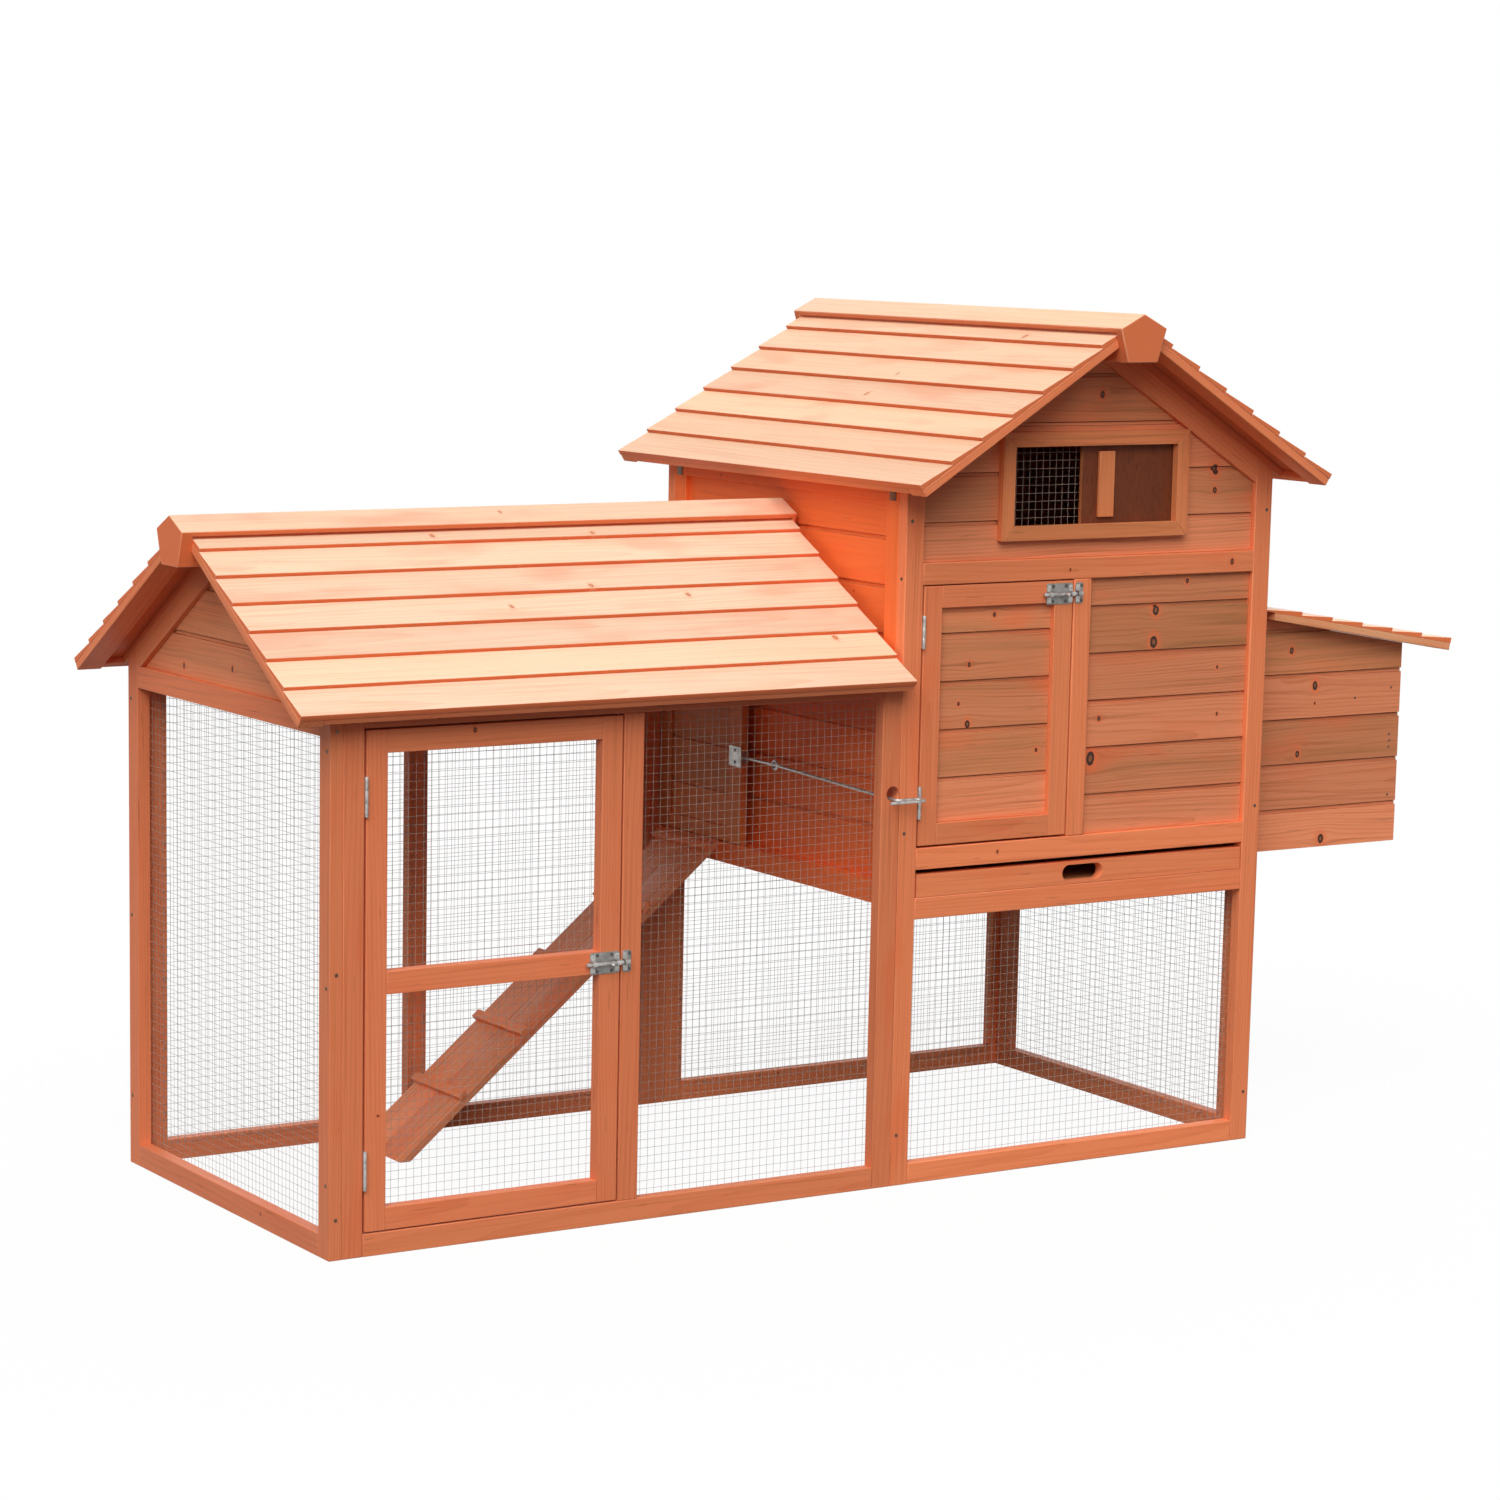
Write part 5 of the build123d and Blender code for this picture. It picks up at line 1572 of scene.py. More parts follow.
@dataclass(frozen=True)
class WireNet:
    """A panel of welded wire at its real pitch, stapled to the inside of its frame."""

    node: str
    pitch: float = 12.7 * MM
    wire_r: float = 0.28 * MM
    sides: int = 5
    run: int = 4
    waver: float = 0.28 * MM
    staple_pitch: float = 105 * MM
    staple_inset: float = 5 * MM
    staple_half: float = 4 * MM
    staple_r: float = 0.45 * MM
    staple_sides: int = 4
    gap_low: Pair | None = None
    gap_high: Pair | None = None

    def build(self) -> Piece:
        """Weave every panel of the node.

        Returns:
            The piece that stands for the node.
        """
        rng = random.Random(self.node)
        forge = Forge()
        for low, high in boxes_of(self.node):
            self.weave(forge, low, high, rng)
        piece = forge.finish(f"{self.node}.wire", MESH_ZINC, self.node, Slot.WIRE)
        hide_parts(self.node)
        return piece

    def weave(self, forge: Forge, low: Vector, high: Vector, rng: random.Random) -> None:
        """Add the wires and staples of one panel.

        Args:
            forge: Where the wires go.
            low: The panel's lowest corner.
            high: Its highest corner.
            rng: Draws for the small waver of the wires.
        """
        size = high - low
        thin, wide = (X, Y) if size.x < size.y else (Y, X)
        middle = (low[thin] + high[thin]) / 2
        inward = 1 if MIDDLE[thin] > middle else -1
        for upright in (True, False):
            across, run = (wide, Z) if upright else (Z, wide)
            layer = middle + inward * self.wire_r * (-1 if upright else 1)
            count = math.floor((size[across] - 2 * self.wire_r) / self.pitch)
            start = low[across] + (size[across] - count * self.pitch) / 2
            for index in range(count + 1):
                at = start + index * self.pitch
                for ends in self.stretches(at, (low[run], high[run]), upright):
                    self.wire(forge, {thin: layer, across: at}, run, ends, across, rng)
        self.staples(forge, low, high, thin, wide, inward)

    def stretches(self, at: float, ends: Pair, upright: bool) -> Iterator[Pair]:
        """Give the runs of one wire, less the part cut out for the pull rod.

        Args:
            at: The wire's own place across.
            ends: Where the wire starts and ends.
            upright: Whether it stands upright.

        Yields:
            The start and end of each run.
        """
        across, run = (0, 1) if upright else (1, 0)
        if not self.gap_low or not self.gap_low[across] < at < self.gap_high[across]:
            yield ends
            return
        first, last = ends
        if self.gap_low[run] - first > self.pitch / 2:
            yield (first, self.gap_low[run])
        if last - self.gap_high[run] > self.pitch / 2:
            yield (self.gap_high[run], last)

    def wire(
        self,
        forge: Forge,
        line: dict[int, float],
        run: int,
        ends: Pair,
        across: int,
        rng: random.Random,
    ) -> None:
        """Add one wire.

        Args:
            forge: Where it goes.
            line: Its place on the two axes that it doesn't run along.
            run: Axis along the wire.
            ends: Start and end on that axis.
            across: Axis that it wavers on.
            rng: Draws for its waver.
        """
        first, last = ends
        steps = max(1, round((last - first) / (self.pitch * self.run)))
        path = []
        for step in range(steps + 1):
            point = Vector((0, 0, 0))
            for axis, at in line.items():
                point[axis] = at
            point[across] = line[across] + rng.uniform(-self.waver, self.waver)
            point[run] = first + (last - first) * step / steps
            path.append(point)
        forge.tube(path, self.wire_r, self.sides)

    def staples(self, forge: Forge, low: Vector, high: Vector, thin: int, wide: int, inward: int) -> None:
        """Add the staples that hold the panel's edges to the frame.

        Args:
            forge: Where they go.
            low: The panel's lowest corner.
            high: Its highest corner.
            thin: Axis through the panel.
            wide: Level axis along the panel.
            inward: Sign of the inner side.
        """
        root, face = (low[thin], high[thin]) if inward > 0 else (high[thin], low[thin])
        for along, across in ((wide, Z), (Z, wide)):
            count = max(1, round((high[along] - low[along]) / self.staple_pitch))
            step = (high[along] - low[along]) / count
            for index in range(count):
                for edge, sign in ((low[across], 1), (high[across], -1)):
                    centre = Vector((0, 0, 0))
                    centre[along] = low[along] + step * (index + HALF)
                    centre[across] = edge + sign * self.staple_inset
                    self.staple(forge, centre, along, thin, root, face)

    def staple(self, forge: Forge, centre: Vector, along: int, thin: int, root: float, face: float) -> None:
        """Add one staple: two legs and a crown along the frame.

        Args:
            forge: Where it goes.
            centre: Its middle, on the two axes of the panel.
            along: Axis of the crown.
            thin: Axis of the legs.
            root: Where the legs end on that axis.
            face: The panel's inner face on that axis.
        """
        path = []
        crown = face + self.staple_r * (1 if face > root else -1)
        for offset, depth in ((-1, root), (-1, crown), (1, crown), (1, root)):
            point = centre.copy()
            point[along] += offset * self.staple_half
            point[thin] = depth
            path.append(point)
        for first, last in zip(path, path[1:]):
            forge.tube([first, last], self.staple_r, self.staple_sides)


def close_case(node: str, straps: Forge, backing: Forge, heads: Forge) -> list[Piece]:
    """Finish the pieces of a bolt's case, or of its keepers.

    Args:
        node: The node that they stand for.
        straps: The bent straps.
        backing: The flat plates.
        heads: The screws.

    Returns:
        Straps, plates and screws.
    """
    case = straps.finish(f"{node}.zinc", BRIGHT_ZINC, node)
    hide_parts(node)
    # The plates take the darker zinc as painted shade.
    plates = backing.finish(f"{node}.plate", SHADED_PLATE_ZINC, node)
    # The screws take near-black steel as painted shadow in their recesses.
    return [case, plates, heads.finish(f"{node}.screws", SHADOWED_SCREW_STEEL, node)]


@dataclass(frozen=True)
class BarrelBolt:
    """A surface bolt: a plate with two straps, and a sliding rod with a knob."""

    case_node: str
    bolt_node: str
    plate_l: float = 50 * MM
    plate_w: float = 33 * MM
    plate_t: float = 1.2 * MM
    plate_round: float = 3.5 * MM
    plate_ease: float = 0.4 * MM
    edge_gap: float = 1.5 * MM
    axis_h: float = 7 * MM
    strap_l: float = 8 * MM
    strap_t: float = 1.2 * MM
    strap_play: float = 0.3 * MM
    strap_steps: int = 8
    foot_half: float = 13.5 * MM
    rivet_r: float = 1.5 * MM
    rivet_h: float = 0.8 * MM
    rivet_inset: float = 3 * MM
    screw_u: Pair = (39 * MM, 14 * MM)
    screw_v: float = 12 * MM
    rod_r: float = 3 * MM
    rod_ease: float = 0.8 * MM
    rod_sides: int = 24
    tail: float = 9 * MM
    tip: float = 3.7 * MM
    knob_x: float = 21.5 * MM
    knob_top: float = 21 * MM
    knob_h: float = 7 * MM
    knob_r: float = 2.75 * MM
    neck_r: float = 2.0 * MM
    knob_sides: int = 20

    def place(self) -> Matrix:
        """Find the frame at the door's closing edge.

        Returns:
            Axes along the bolt, up, and out of the door.
        """
        low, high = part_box(self.case_node)
        origin = Vector((high.x + self.edge_gap, high.y, (low.z + high.z) / 2))
        return facing(origin, RIGHTWARD, FORWARD)

    def lengthways(self, height: float = 0.0) -> Matrix:
        """Turn from the bolt's frame to one whose third axis runs along the bolt, at a height."""
        return Matrix(((0, 0, 1, 0), (1, 0, 0, 0), (0, 1, 0, height), (0, 0, 0, 1)))

    def strap_outline(self) -> Outline:
        """Outline of a strap bent over the rod.

        Returns:
            Points in the up and out directions.
        """
        inner = self.rod_r + self.strap_play
        outer = inner + self.strap_t
        turns = [math.pi * index / self.strap_steps for index in range(self.strap_steps + 1)]
        foot = self.plate_t
        top = foot + self.strap_t
        over = [(outer * math.cos(turn), self.axis_h + outer * math.sin(turn)) for turn in turns]
        under = [(inner * math.cos(turn), self.axis_h + inner * math.sin(turn)) for turn in turns[::-1]]
        right = [(inner, foot), (self.foot_half, foot), (self.foot_half, top), (outer, top)]
        left = [(-outer, top), (-self.foot_half, top), (-self.foot_half, foot), (-inner, foot)]
        return right + over + left + under

    def strap(self, forge: Forge, place: Matrix, start: float) -> None:
        """Add one strap.

        Args:
            forge: Where it goes.
            place: The bolt's frame.
            start: Its first end along the bolt.
        """
        forge.slab(self.strap_outline(), start, start + self.strap_l, place @ self.lengthways())
        for side in SIDES:
            across = side * (self.foot_half - self.rivet_inset)
            spot = Vector((start + self.strap_l / 2, across, self.plate_t + self.strap_t))
            forge.pin(place @ Matrix.Translation(spot), self.rivet_r, self.rivet_h)

    def plate(self, forge: Forge, place: Matrix, start: float, length: float) -> None:
        """Add a flat plate.

        Args:
            forge: Where it goes.
            place: The bolt's frame.
            start: Its first end along the bolt.
            length: Its length.
        """
        middle = place @ Matrix.Translation((start + length / 2, 0, 0))
        less = 2 * self.plate_ease
        outer = rounded_plate(length, self.plate_w, self.plate_round)
        inner = rounded_plate(length - less, self.plate_w - less, self.plate_round)
        levels = ((outer, 0.0), (outer, self.plate_t - self.plate_ease), (inner, self.plate_t))
        forge.skin([forge.loop(outline, height, middle) for outline, height in levels])

    def build(self) -> list[Piece]:
        """Form the case and the rod.

        Returns:
            Straps, plate, screws and rod.
        """
        place = self.place()
        straps, backing, heads = Forge(), Forge(), Forge()
        first = -self.edge_gap - self.plate_l
        self.plate(backing, place, first, self.plate_l)
        for start in (first, -self.edge_gap - self.strap_l):
            self.strap(straps, place, start)
        for u in self.screw_u:
            for side in SIDES:
                heads.screw(place @ Matrix.Translation((-u, side * self.screw_v, self.plate_t)))
        return [*close_case(self.case_node, straps, backing, heads), self.rod(place, first)]

    def rod(self, place: Matrix, first: float) -> Piece:
        """Turn the sliding rod with its knob.

        Args:
            place: The bolt's frame.
            first: Where the plate starts along the bolt.

        Returns:
            The piece.
        """
        forge = Forge()
        ease = self.rod_ease
        start = first - self.tail
        slim = self.rod_r - ease
        rod = (
            (slim, start),
            (self.rod_r, start + ease),
            (self.rod_r, self.tip - 2 * ease),
            (slim, self.tip),
        )
        forge.lathe(rod, place @ self.lengthways(self.axis_h), self.rod_sides)
        stem_top = self.knob_top - self.knob_h
        knob = (
            (self.neck_r, self.axis_h),
            (self.neck_r, stem_top),
            (self.knob_r, stem_top + ease),
            (self.knob_r, self.knob_top - 2 * ease),
            (self.knob_r - ease, self.knob_top - ease / 2),
            (self.neck_r / 2, self.knob_top),
        )
        forge.lathe(knob, place @ Matrix.Translation((-self.knob_x, 0, 0)), self.knob_sides)
        piece = forge.finish(f"{self.bolt_node}.zinc", BRIGHT_ZINC, self.bolt_node)
        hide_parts(self.bolt_node)
        return piece


@dataclass(frozen=True)
class Keepers:
    """The keepers of both bolts, with the same straps and plates as a bolt's case."""

    bolt: BarrelBolt
    node: str = "bolt_keepers"
    plate_l: float = 15 * MM
    screw_u: float = 11.3 * MM

    def build(self) -> list[Piece]:
        """Form both keepers.

        Returns:
            Straps, plates and screws.
        """
        straps, backing, heads = Forge(), Forge(), Forge()
        for low, high in boxes_of(self.node):
            origin = Vector((low.x, high.y, (low.z + high.z) / 2))
            place = facing(origin, RIGHTWARD, FORWARD)
            self.bolt.plate(backing, place, 0.0, self.plate_l)
            self.bolt.strap(straps, place, 0.0)
            for side in SIDES:
                spot = Vector((self.screw_u, side * self.bolt.screw_v, self.bolt.plate_t))
                heads.screw(place @ Matrix.Translation(spot))
        return close_case(self.node, straps, backing, heads)


def frames(*nodes: str, finish: StainedFir = FRAME_FIR, arris: float = 0.8 * MM) -> list[TimberCut]:
    """Cuts for plain square frame timber."""
    return [TimberCut(node, finish, Slot.FRAME, arris) for node in nodes]


def walls(*nodes: str, finish: StainedFir = WALL_FIR, inside: Vector = MIDDLE) -> list[TimberCut]:
    """Cuts for wall boards, rebated on the side that looks away from a point inside."""
    return [TimberCut(node, finish, Slot.WALL, WALL_ARRIS, rebate=Rebate(inside)) for node in nodes]


def roofing(*nodes: str, finish: StainedFir = ROOF_FIR, arris: float = 0.9 * MM) -> list[TimberCut]:
    """Cuts for boards and beams whose tops are painted pale as a highlight."""
    return [TimberCut(node, finish, Slot.ROOF, arris, ROOF_SEGMENTS, highlight_painted_top=True) for node in nodes]


def sheet(node: str, finish: Plywood = PANEL_PLY, grain: Grain = Grain.LONGEST) -> TimberCut:
    """Cut for a sheet of ply."""
    return TimberCut(node, finish, Slot.PLY, SHEET_ARRIS, grain=grain)


@dataclass
class SubAssembly:
    """Base of the coop's groups of pieces."""

    def cuts(self) -> list[TimberCut]:
        """Timber nodes of the group."""
        return []

    def fittings(self) -> list[Piece]:
        """Wire and metal pieces of the group."""
        return []

    def build(self) -> list[Piece]:
        """Make all pieces of the group."""
        return [cut.build() for cut in self.cuts()] + self.fittings()


@dataclass
class RunPanels(SubAssembly):
    """End, front and back of the run, with the opening for the pull rod in the front net."""

    rod_gap_low: Pair = (-69.8 * MM, 601.2 * MM)
    rod_gap_high: Pair = (-55 * MM, 643.8 * MM)
    stop_over: float = 4 * MM
    stop_below: float = 13 * MM
    stop_above: float = 20 * MM
    stop_t: float = 8 * MM
    stop_gap: float = 0.3 * MM

    def cuts(self) -> list[TimberCut]:
        """Choose how the frames, gable boards and door stop are cut.

        Returns:
            The cuts.
        """
        framing = frames("run_end_frame", "run_back_frame", finish=RUN_FIR)
        front = frames("run_front_frame", finish=RUN_FIR, arris=SEAM_ARRIS)
        return framing + front + walls("run_end_boards", finish=GABLE_FIR) + [self.door_stop()]

    def door_stop(self) -> Strips:
        """Place the strip behind the run's top rail that the door closes against.

        Returns:
            The strip to cut.
        """
        low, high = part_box("run_door_frame")
        back = high.y + self.stop_gap
        start = Vector((low.x - self.stop_over, back, high.z - self.stop_below))
        end = Vector((high.x + self.stop_over, back + self.stop_t, high.z + self.stop_above))
        return Strips("run_front_frame", RUN_FIR, Slot.FRAME, name="run_door_stop", boxes=((start, end),))

    def fittings(self) -> list[Piece]:
        """Nets."""
        front = WireNet("run_front_mesh", gap_low=self.rod_gap_low, gap_high=self.rod_gap_high)
        return [net.build() for net in (WireNet("run_end_mesh"), front, WireNet("run_back_mesh"))]


@dataclass
class Roof(SubAssembly):
    """Wedge-shaped boards on flat rafters, with pins along each rafter and a solid ridge."""

    boards: str
    rafters: str
    ridge: str
    ridge_axis: int
    pin_lines: tuple[float, ...]
    finish: StainedFir = ROOF_FIR
    pin_r: float = 1.1 * MM
    pin_h: float = 0.2 * MM
    first_pin: float = 14 * MM
    pin_pitch: float = 55.3 * MM
    pin_drop: float = 1.0
    courses: int = 7
    ridge_arris: float = 1.6 * MM
    rafter_arris: float = 1.0 * MM

    def cuts(self) -> list[TimberCut]:
        """Choose how the boards, rafters and ridge are cut.

        Returns:
            The cuts.
        """
        timber = roofing(self.boards, finish=self.finish) + frames(self.rafters, arris=self.rafter_arris)
        ridge = roofing(self.ridge, finish=self.finish, arris=self.ridge_arris)
        return timber + [replace(cut, rebate=RidgeSeam(self.ridge_axis, self.boards)) for cut in ridge]

    def build(self) -> list[Piece]:
        """Make the roof, then drive the pins."""
        pieces = [cut.build() for cut in self.cuts()]
        return pieces + [self.pins(pieces[0])]

    def pins(self, boards: Piece) -> Piece:
        """Set a pin in each board over each rafter.

        Args:
            boards: The boards' piece.

        Returns:
            The pins.
        """
        points = [corner.co for corner in boards.data.vertices]
        polygons = [polygon.vertices for polygon in boards.data.polygons]
        tree = BVHTree.FromPolygons(points, polygons)
        low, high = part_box(self.boards)
        across = 1 - self.ridge_axis
        forge = Forge()
        for line in self.pin_lines:
            for index in range(self.courses):
                inset = self.first_pin + index * self.pin_pitch
                for at in (low[across] + inset, high[across] - inset):
                    start = Vector((0, 0, high.z + self.pin_drop))
                    start[self.ridge_axis] = line
                    start[across] = at
                    spot, normal, _, _ = tree.ray_cast(start, -UP)
                    forge.pin(facing(spot, normal.orthogonal(), normal), self.pin_r, self.pin_h)
        return forge.finish(f"{self.boards}.pins", COATED_PIN, self.boards)


@dataclass
class RunDoor(SubAssembly):
    """The run's door with its net, hinges and bolt."""

    def cuts(self) -> list[TimberCut]:
        """The door's frame."""
        return frames("run_door_frame", finish=RUN_FIR)

    def fittings(self) -> list[Piece]:
        """Make the door's wire and metal, and both keepers.

        Returns:
            Net, hinges, bolt and keepers.
        """
        bolt = BarrelBolt("run_bolt_case", "run_bolt")
        hinges = [MetalCopy(node).build() for node in ("run_door_hinges", "run_post_hinges")]
        return [WireNet("run_door_mesh").build(), *hinges, *bolt.build(), *Keepers(bolt).build()]


@dataclass
class HousePanels(SubAssembly):
    """Walls of the house, the nets below it and the small iron on them."""

    filler_bay: Pair = (20.4 * MM, 303.6 * MM)
    filler_gap: float = 0.3 * MM
    filler_h: float = 20 * MM
    tongued: tuple[str, ...] = ("house_back_boards", "house_left_boards", "house_right_boards")
    tongue_in: float = 2 * MM
    tongue_end: float = 0.3 * MM
    tongue_arris: float = 0.2 * MM
    tongue_set: float = 0.4
    joint_max: float = 1.5 * MM

    def cuts(self) -> list[TimberCut]:
        """Choose how the frames, boards, perch and strips are cut.

        Returns:
            The cuts.
        """
        sides = ("front", "back", "right")
        framing = frames(*(f"house_{side}_frame" for side in sides), "perch_bar", arris=SEAM_ARRIS)
        boards = walls(*(f"house_{side}_boards" for side in sides))
        # The left wall and its frame are painted with bounce light from the run roof.
        left = frames("house_left_frame", finish=BOUNCE_LIT_FIR) + walls("house_left_boards", finish=BOUNCE_LIT_FIR)
        return framing + boards + left + [self.eave_fillers(), self.tongues()]

    def eave_fillers(self) -> Strips:
        """Place strips on the side walls that close the bays between the rafters.

        Returns:
            The strips to cut.
        """
        near, far = self.filler_bay
        boxes = []
        for side in ("left", "right"):
            low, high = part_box(f"house_{side}_boards")
            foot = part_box(f"house_{side}_frame")[1].z + self.filler_gap
            for first, last in ((near, far), (-far, -near)):
                start = Vector((low.x, first, foot))
                boxes.append((start, Vector((high.x, last, foot + self.filler_h))))
        name = "house_eave_fillers"
        return Strips("house_left_frame", FRAME_FIR, Slot.FRAME, name=name, boxes=tuple(boxes))

    def tongue(self, low: Vector, high: Vector) -> Box:
        """Set one tongue in the middle of the boards' thickness.

        Args:
            low: Lowest corner of the joint.
            high: Highest corner of the joint.

        Returns:
            Lowest and highest corner of the tongue.
        """
        across = min((X, Y), key=lambda axis: high[axis] - low[axis])
        inset = Vector((self.tongue_end, self.tongue_end, -self.tongue_in))
        inset[across] = (high[across] - low[across]) * self.tongue_set
        return low + inset, high - inset

    def joints(self, node: str) -> list[Box]:
        """Find the level joints above and below the boards of one wall.

        Args:
            node: Name of the wall's boards.

        Returns:
            Lowest and highest corner of each joint.
        """
        bm = welded(node)
        feet = []
        heads = []
        for corners in solids_of(bm):
            low, high = box_of(corners)
            feet.append(box_of(c for c in corners if c.co.z < low.z + self.joint_max))
            heads.append(box_of(c for c in corners if c.co.z > high.z - self.joint_max))
        bm.free()
        found = []
        free = list(feet)
        for head_low, head_high in heads:
            shared = []
            for foot in feet:
                low = Vector(map(max, head_low, foot[0]))
                high = Vector(map(min, head_high, foot[1]))
                near = 0 < foot[0].z - head_high.z < self.joint_max
                if near and low.x < high.x and low.y < high.y:
                    shared.append((Vector((low.x, low.y, head_high.z)), Vector((high.x, high.y, foot[0].z))))
                    free = [other for other in free if other is not foot]
            found += shared or [(head_low, head_high)]
        return found + free

    def tongues(self) -> Strips:
        """Place the hidden tongues that keep daylight out of the joints between wall boards.

        Returns:
            The strips to cut.
        """
        boxes = tuple(self.tongue(*joint) for node in self.tongued for joint in self.joints(node))
        back = self.tongued[0]
        name = "house_board_tongues"
        return Strips(back, WALL_FIR, Slot.WALL, self.tongue_arris, name=name, boxes=boxes)

    def fittings(self) -> list[Piece]:
        """Nets and roof brackets."""
        nets = [WireNet(f"house_{side}_mesh").build() for side in ("front", "back", "right")]
        return nets + [MetalCopy("roof_brackets", finish=DULL_STEEL).build()]


@dataclass
class GableWindow(SubAssembly):
    """The mitred window frame, its net and the sliding shutter."""

    wire_r: float = 0.3 * MM
    grip_arris: float = 1.0 * MM

    def cuts(self) -> list[TimberCut]:
        """Choose how the trim, shutter and grip are cut.

        Returns:
            The cuts.
        """
        grip = TimberCut("shutter_grip", TRIM_FIR, Slot.FRAME, self.grip_arris, grain=Grain.UPRIGHT)
        shutter = sheet("window_shutter", SHUTTER_PLY, Grain.UPRIGHT)
        return frames("window_frame", finish=TRIM_FIR) + [shutter, grip]

    def fittings(self) -> list[Piece]:
        """The net behind the opening."""
        return [WireNet("window_mesh", wire_r=self.wire_r).build()]


@dataclass
class HouseDoor(SubAssembly):
    """The boarded house door with its hinges and bolt."""

    def cuts(self) -> list[TimberCut]:
        """Frame and boards."""
        return frames("house_door_frame") + walls("house_door_boards")

    def fittings(self) -> list[Piece]:
        """Hinges and bolt."""
        hinges = [MetalCopy(node).build() for node in ("house_door_hinges", "house_post_hinges")]
        return hinges + BarrelBolt("house_bolt_case", "house_bolt").build()


@dataclass
class DroppingsTray(SubAssembly):
    """The pull-out tray and its runners."""

    front_arris: float = 1.1 * MM

    def cuts(self) -> list[TimberCut]:
        """Front, runners and pan."""
        return frames("tray_front", arris=self.front_arris) + frames("tray_runners") + [sheet("tray_pan")]


@dataclass
class PopDoor(SubAssembly):
    """The sliding hen door, its guides and its pull."""

    screw_z: Pair = (618 * MM, 637.5 * MM)
    rod_arris: float = 0.3 * MM

    def cuts(self) -> list[TimberCut]:
        """Frame, guides and boards."""
        # The guides on the left wall take its painted bounce light.
        framing = frames("pop_door_frame", finish=UMBER_FIR) + frames("pop_door_guides", finish=BOUNCE_LIT_FIR)
        return framing + walls("pop_door_boards", finish=UMBER_FIR)

    def fittings(self) -> list[Piece]:
        """Make the bracket, its two screws and the rod.

        Returns:
            Bracket, rod and screws.
        """
        bracket = "pop_door_bracket"
        pieces = [MetalCopy(bracket).build(), MetalCopy("pull_rod", self.rod_arris).build()]
        low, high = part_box(bracket)
        forge = Forge()
        for z in self.screw_z:
            spot = Vector((low.x, (low.y + high.y) / 2, z))
            forge.screw(facing(spot, BACKWARD, LEFTWARD))
        # Near-black screws: painted shadow in their recesses.
        return pieces + [forge.finish("bracket_screws", SHADOWED_SCREW_STEEL, bracket)]


@dataclass
class Ramp(SubAssembly):
    """The hens' ramp with nailed cleats."""

    nail_r: float = 1.6 * MM
    nail_h: float = 0.4 * MM
    nail_inset: float = 40 * MM
    board_arris: float = 1.0 * MM

    def cuts(self) -> list[TimberCut]:
        """Cleats and boards."""
        return frames("ramp_cleats") + [TimberCut("ramp_boards", WALL_FIR, Slot.WALL, self.board_arris)]

    def fittings(self) -> list[Piece]:
        """Drive two nails in each cleat.

        Returns:
            The nails.
        """
        forge = Forge()
        bm = welded("ramp_cleats")
        for corners in solids_of(bm):
            low, high = box_of(corners)
            top = max({f for c in corners for f in c.link_faces}, key=lambda face: face.normal.z)
            middle = top.calc_center_median()
            for y in (low.y + self.nail_inset, high.y - self.nail_inset):
                spot = Vector((middle.x, y, middle.z))
                forge.pin(facing(spot, BACKWARD, top.normal), self.nail_r, self.nail_h)
        bm.free()
        return [forge.finish("ramp_nails", BRIGHT_ZINC, "ramp_cleats")]


@dataclass
class NestBox(SubAssembly):
    """The nest box on the right wall and its hinged lid."""

    nail_r: float = 2.3 * MM
    nail_h: float = 0.3 * MM
    nails: tuple[Pair, ...] = (
        (1.006, 0.731),
        (0.927, 0.717),
        (1.006, 0.652),
        (1.007, 0.641),
        (1.006, 0.630),
        (1.008, 0.549),
    )

    def cuts(self) -> list[TimberCut]:
        """Choose how the walls, floor, lid boards and battens are cut.

        Returns:
            The cuts.
        """
        low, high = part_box("nest_walls")
        lid = roofing("nest_lid_boards") + frames("nest_lid_battens", finish=WEATHERED_FIR)
        return walls("nest_walls", inside=(low + high) / 2) + [sheet("nest_floor")] + lid

    def fittings(self) -> list[Piece]:
        """Make the lid's hinges, and drive the nails in the front.

        Returns:
            Hinges and nails.
        """
        hinges = [MetalCopy(node).build() for node in ("nest_lid_hinges", "nest_wall_hinges")]
        forge = Forge()
        for x, z in self.nails:
            forge.pin(facing(Vector((x, NEST_FRONT_Y, z)), UP, FORWARD), self.nail_r, self.nail_h)
        return hinges + [forge.finish("nest_nails", DULL_STEEL, "nest_walls")]


@dataclass
class Screws(SubAssembly):
    """Cross-head screws that hold the panels together."""

    node: str = "panel_screws"
    post_x: float = -36 * MM
    post_y: float = -338 * MM
    post_z: tuple[float, ...] = (953 * MM, 640 * MM)
    corner_x: float = -1007 * MM
    corner_z: tuple[float, ...] = (771 * MM, 420 * MM, 60 * MM)

    def fittings(self) -> list[Piece]:
        """Set screw heads where the part has them, and a few more at the corner posts.

        Returns:
            The screws.
        """
        forge = Forge()
        for low, high in boxes_of(self.node):
            size = high - low
            axis = min(AXES, key=lambda index: size[index])
            spot = (low + high) / 2
            out = Vector((0, 0, 0))
            out[axis] = 1 if spot[axis] > MIDDLE[axis] else -1
            spot[axis] = low[axis] if out[axis] > 0 else high[axis]
            forge.screw(facing(spot, UP, out))
        for z in self.post_z:
            forge.screw(facing(Vector((self.post_x, self.post_y, z)), UP, LEFTWARD))
        for z in self.corner_z:
            forge.screw(facing(Vector((self.corner_x, FRONT_FRAME_Y, z)), UP, FORWARD))
        # The dark steel stands partly for the shade in the countersinks: painted shade.
        piece = forge.finish(f"{self.node}.zinc", DULL_STEEL, self.node)
        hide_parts(self.node)
        return [piece]


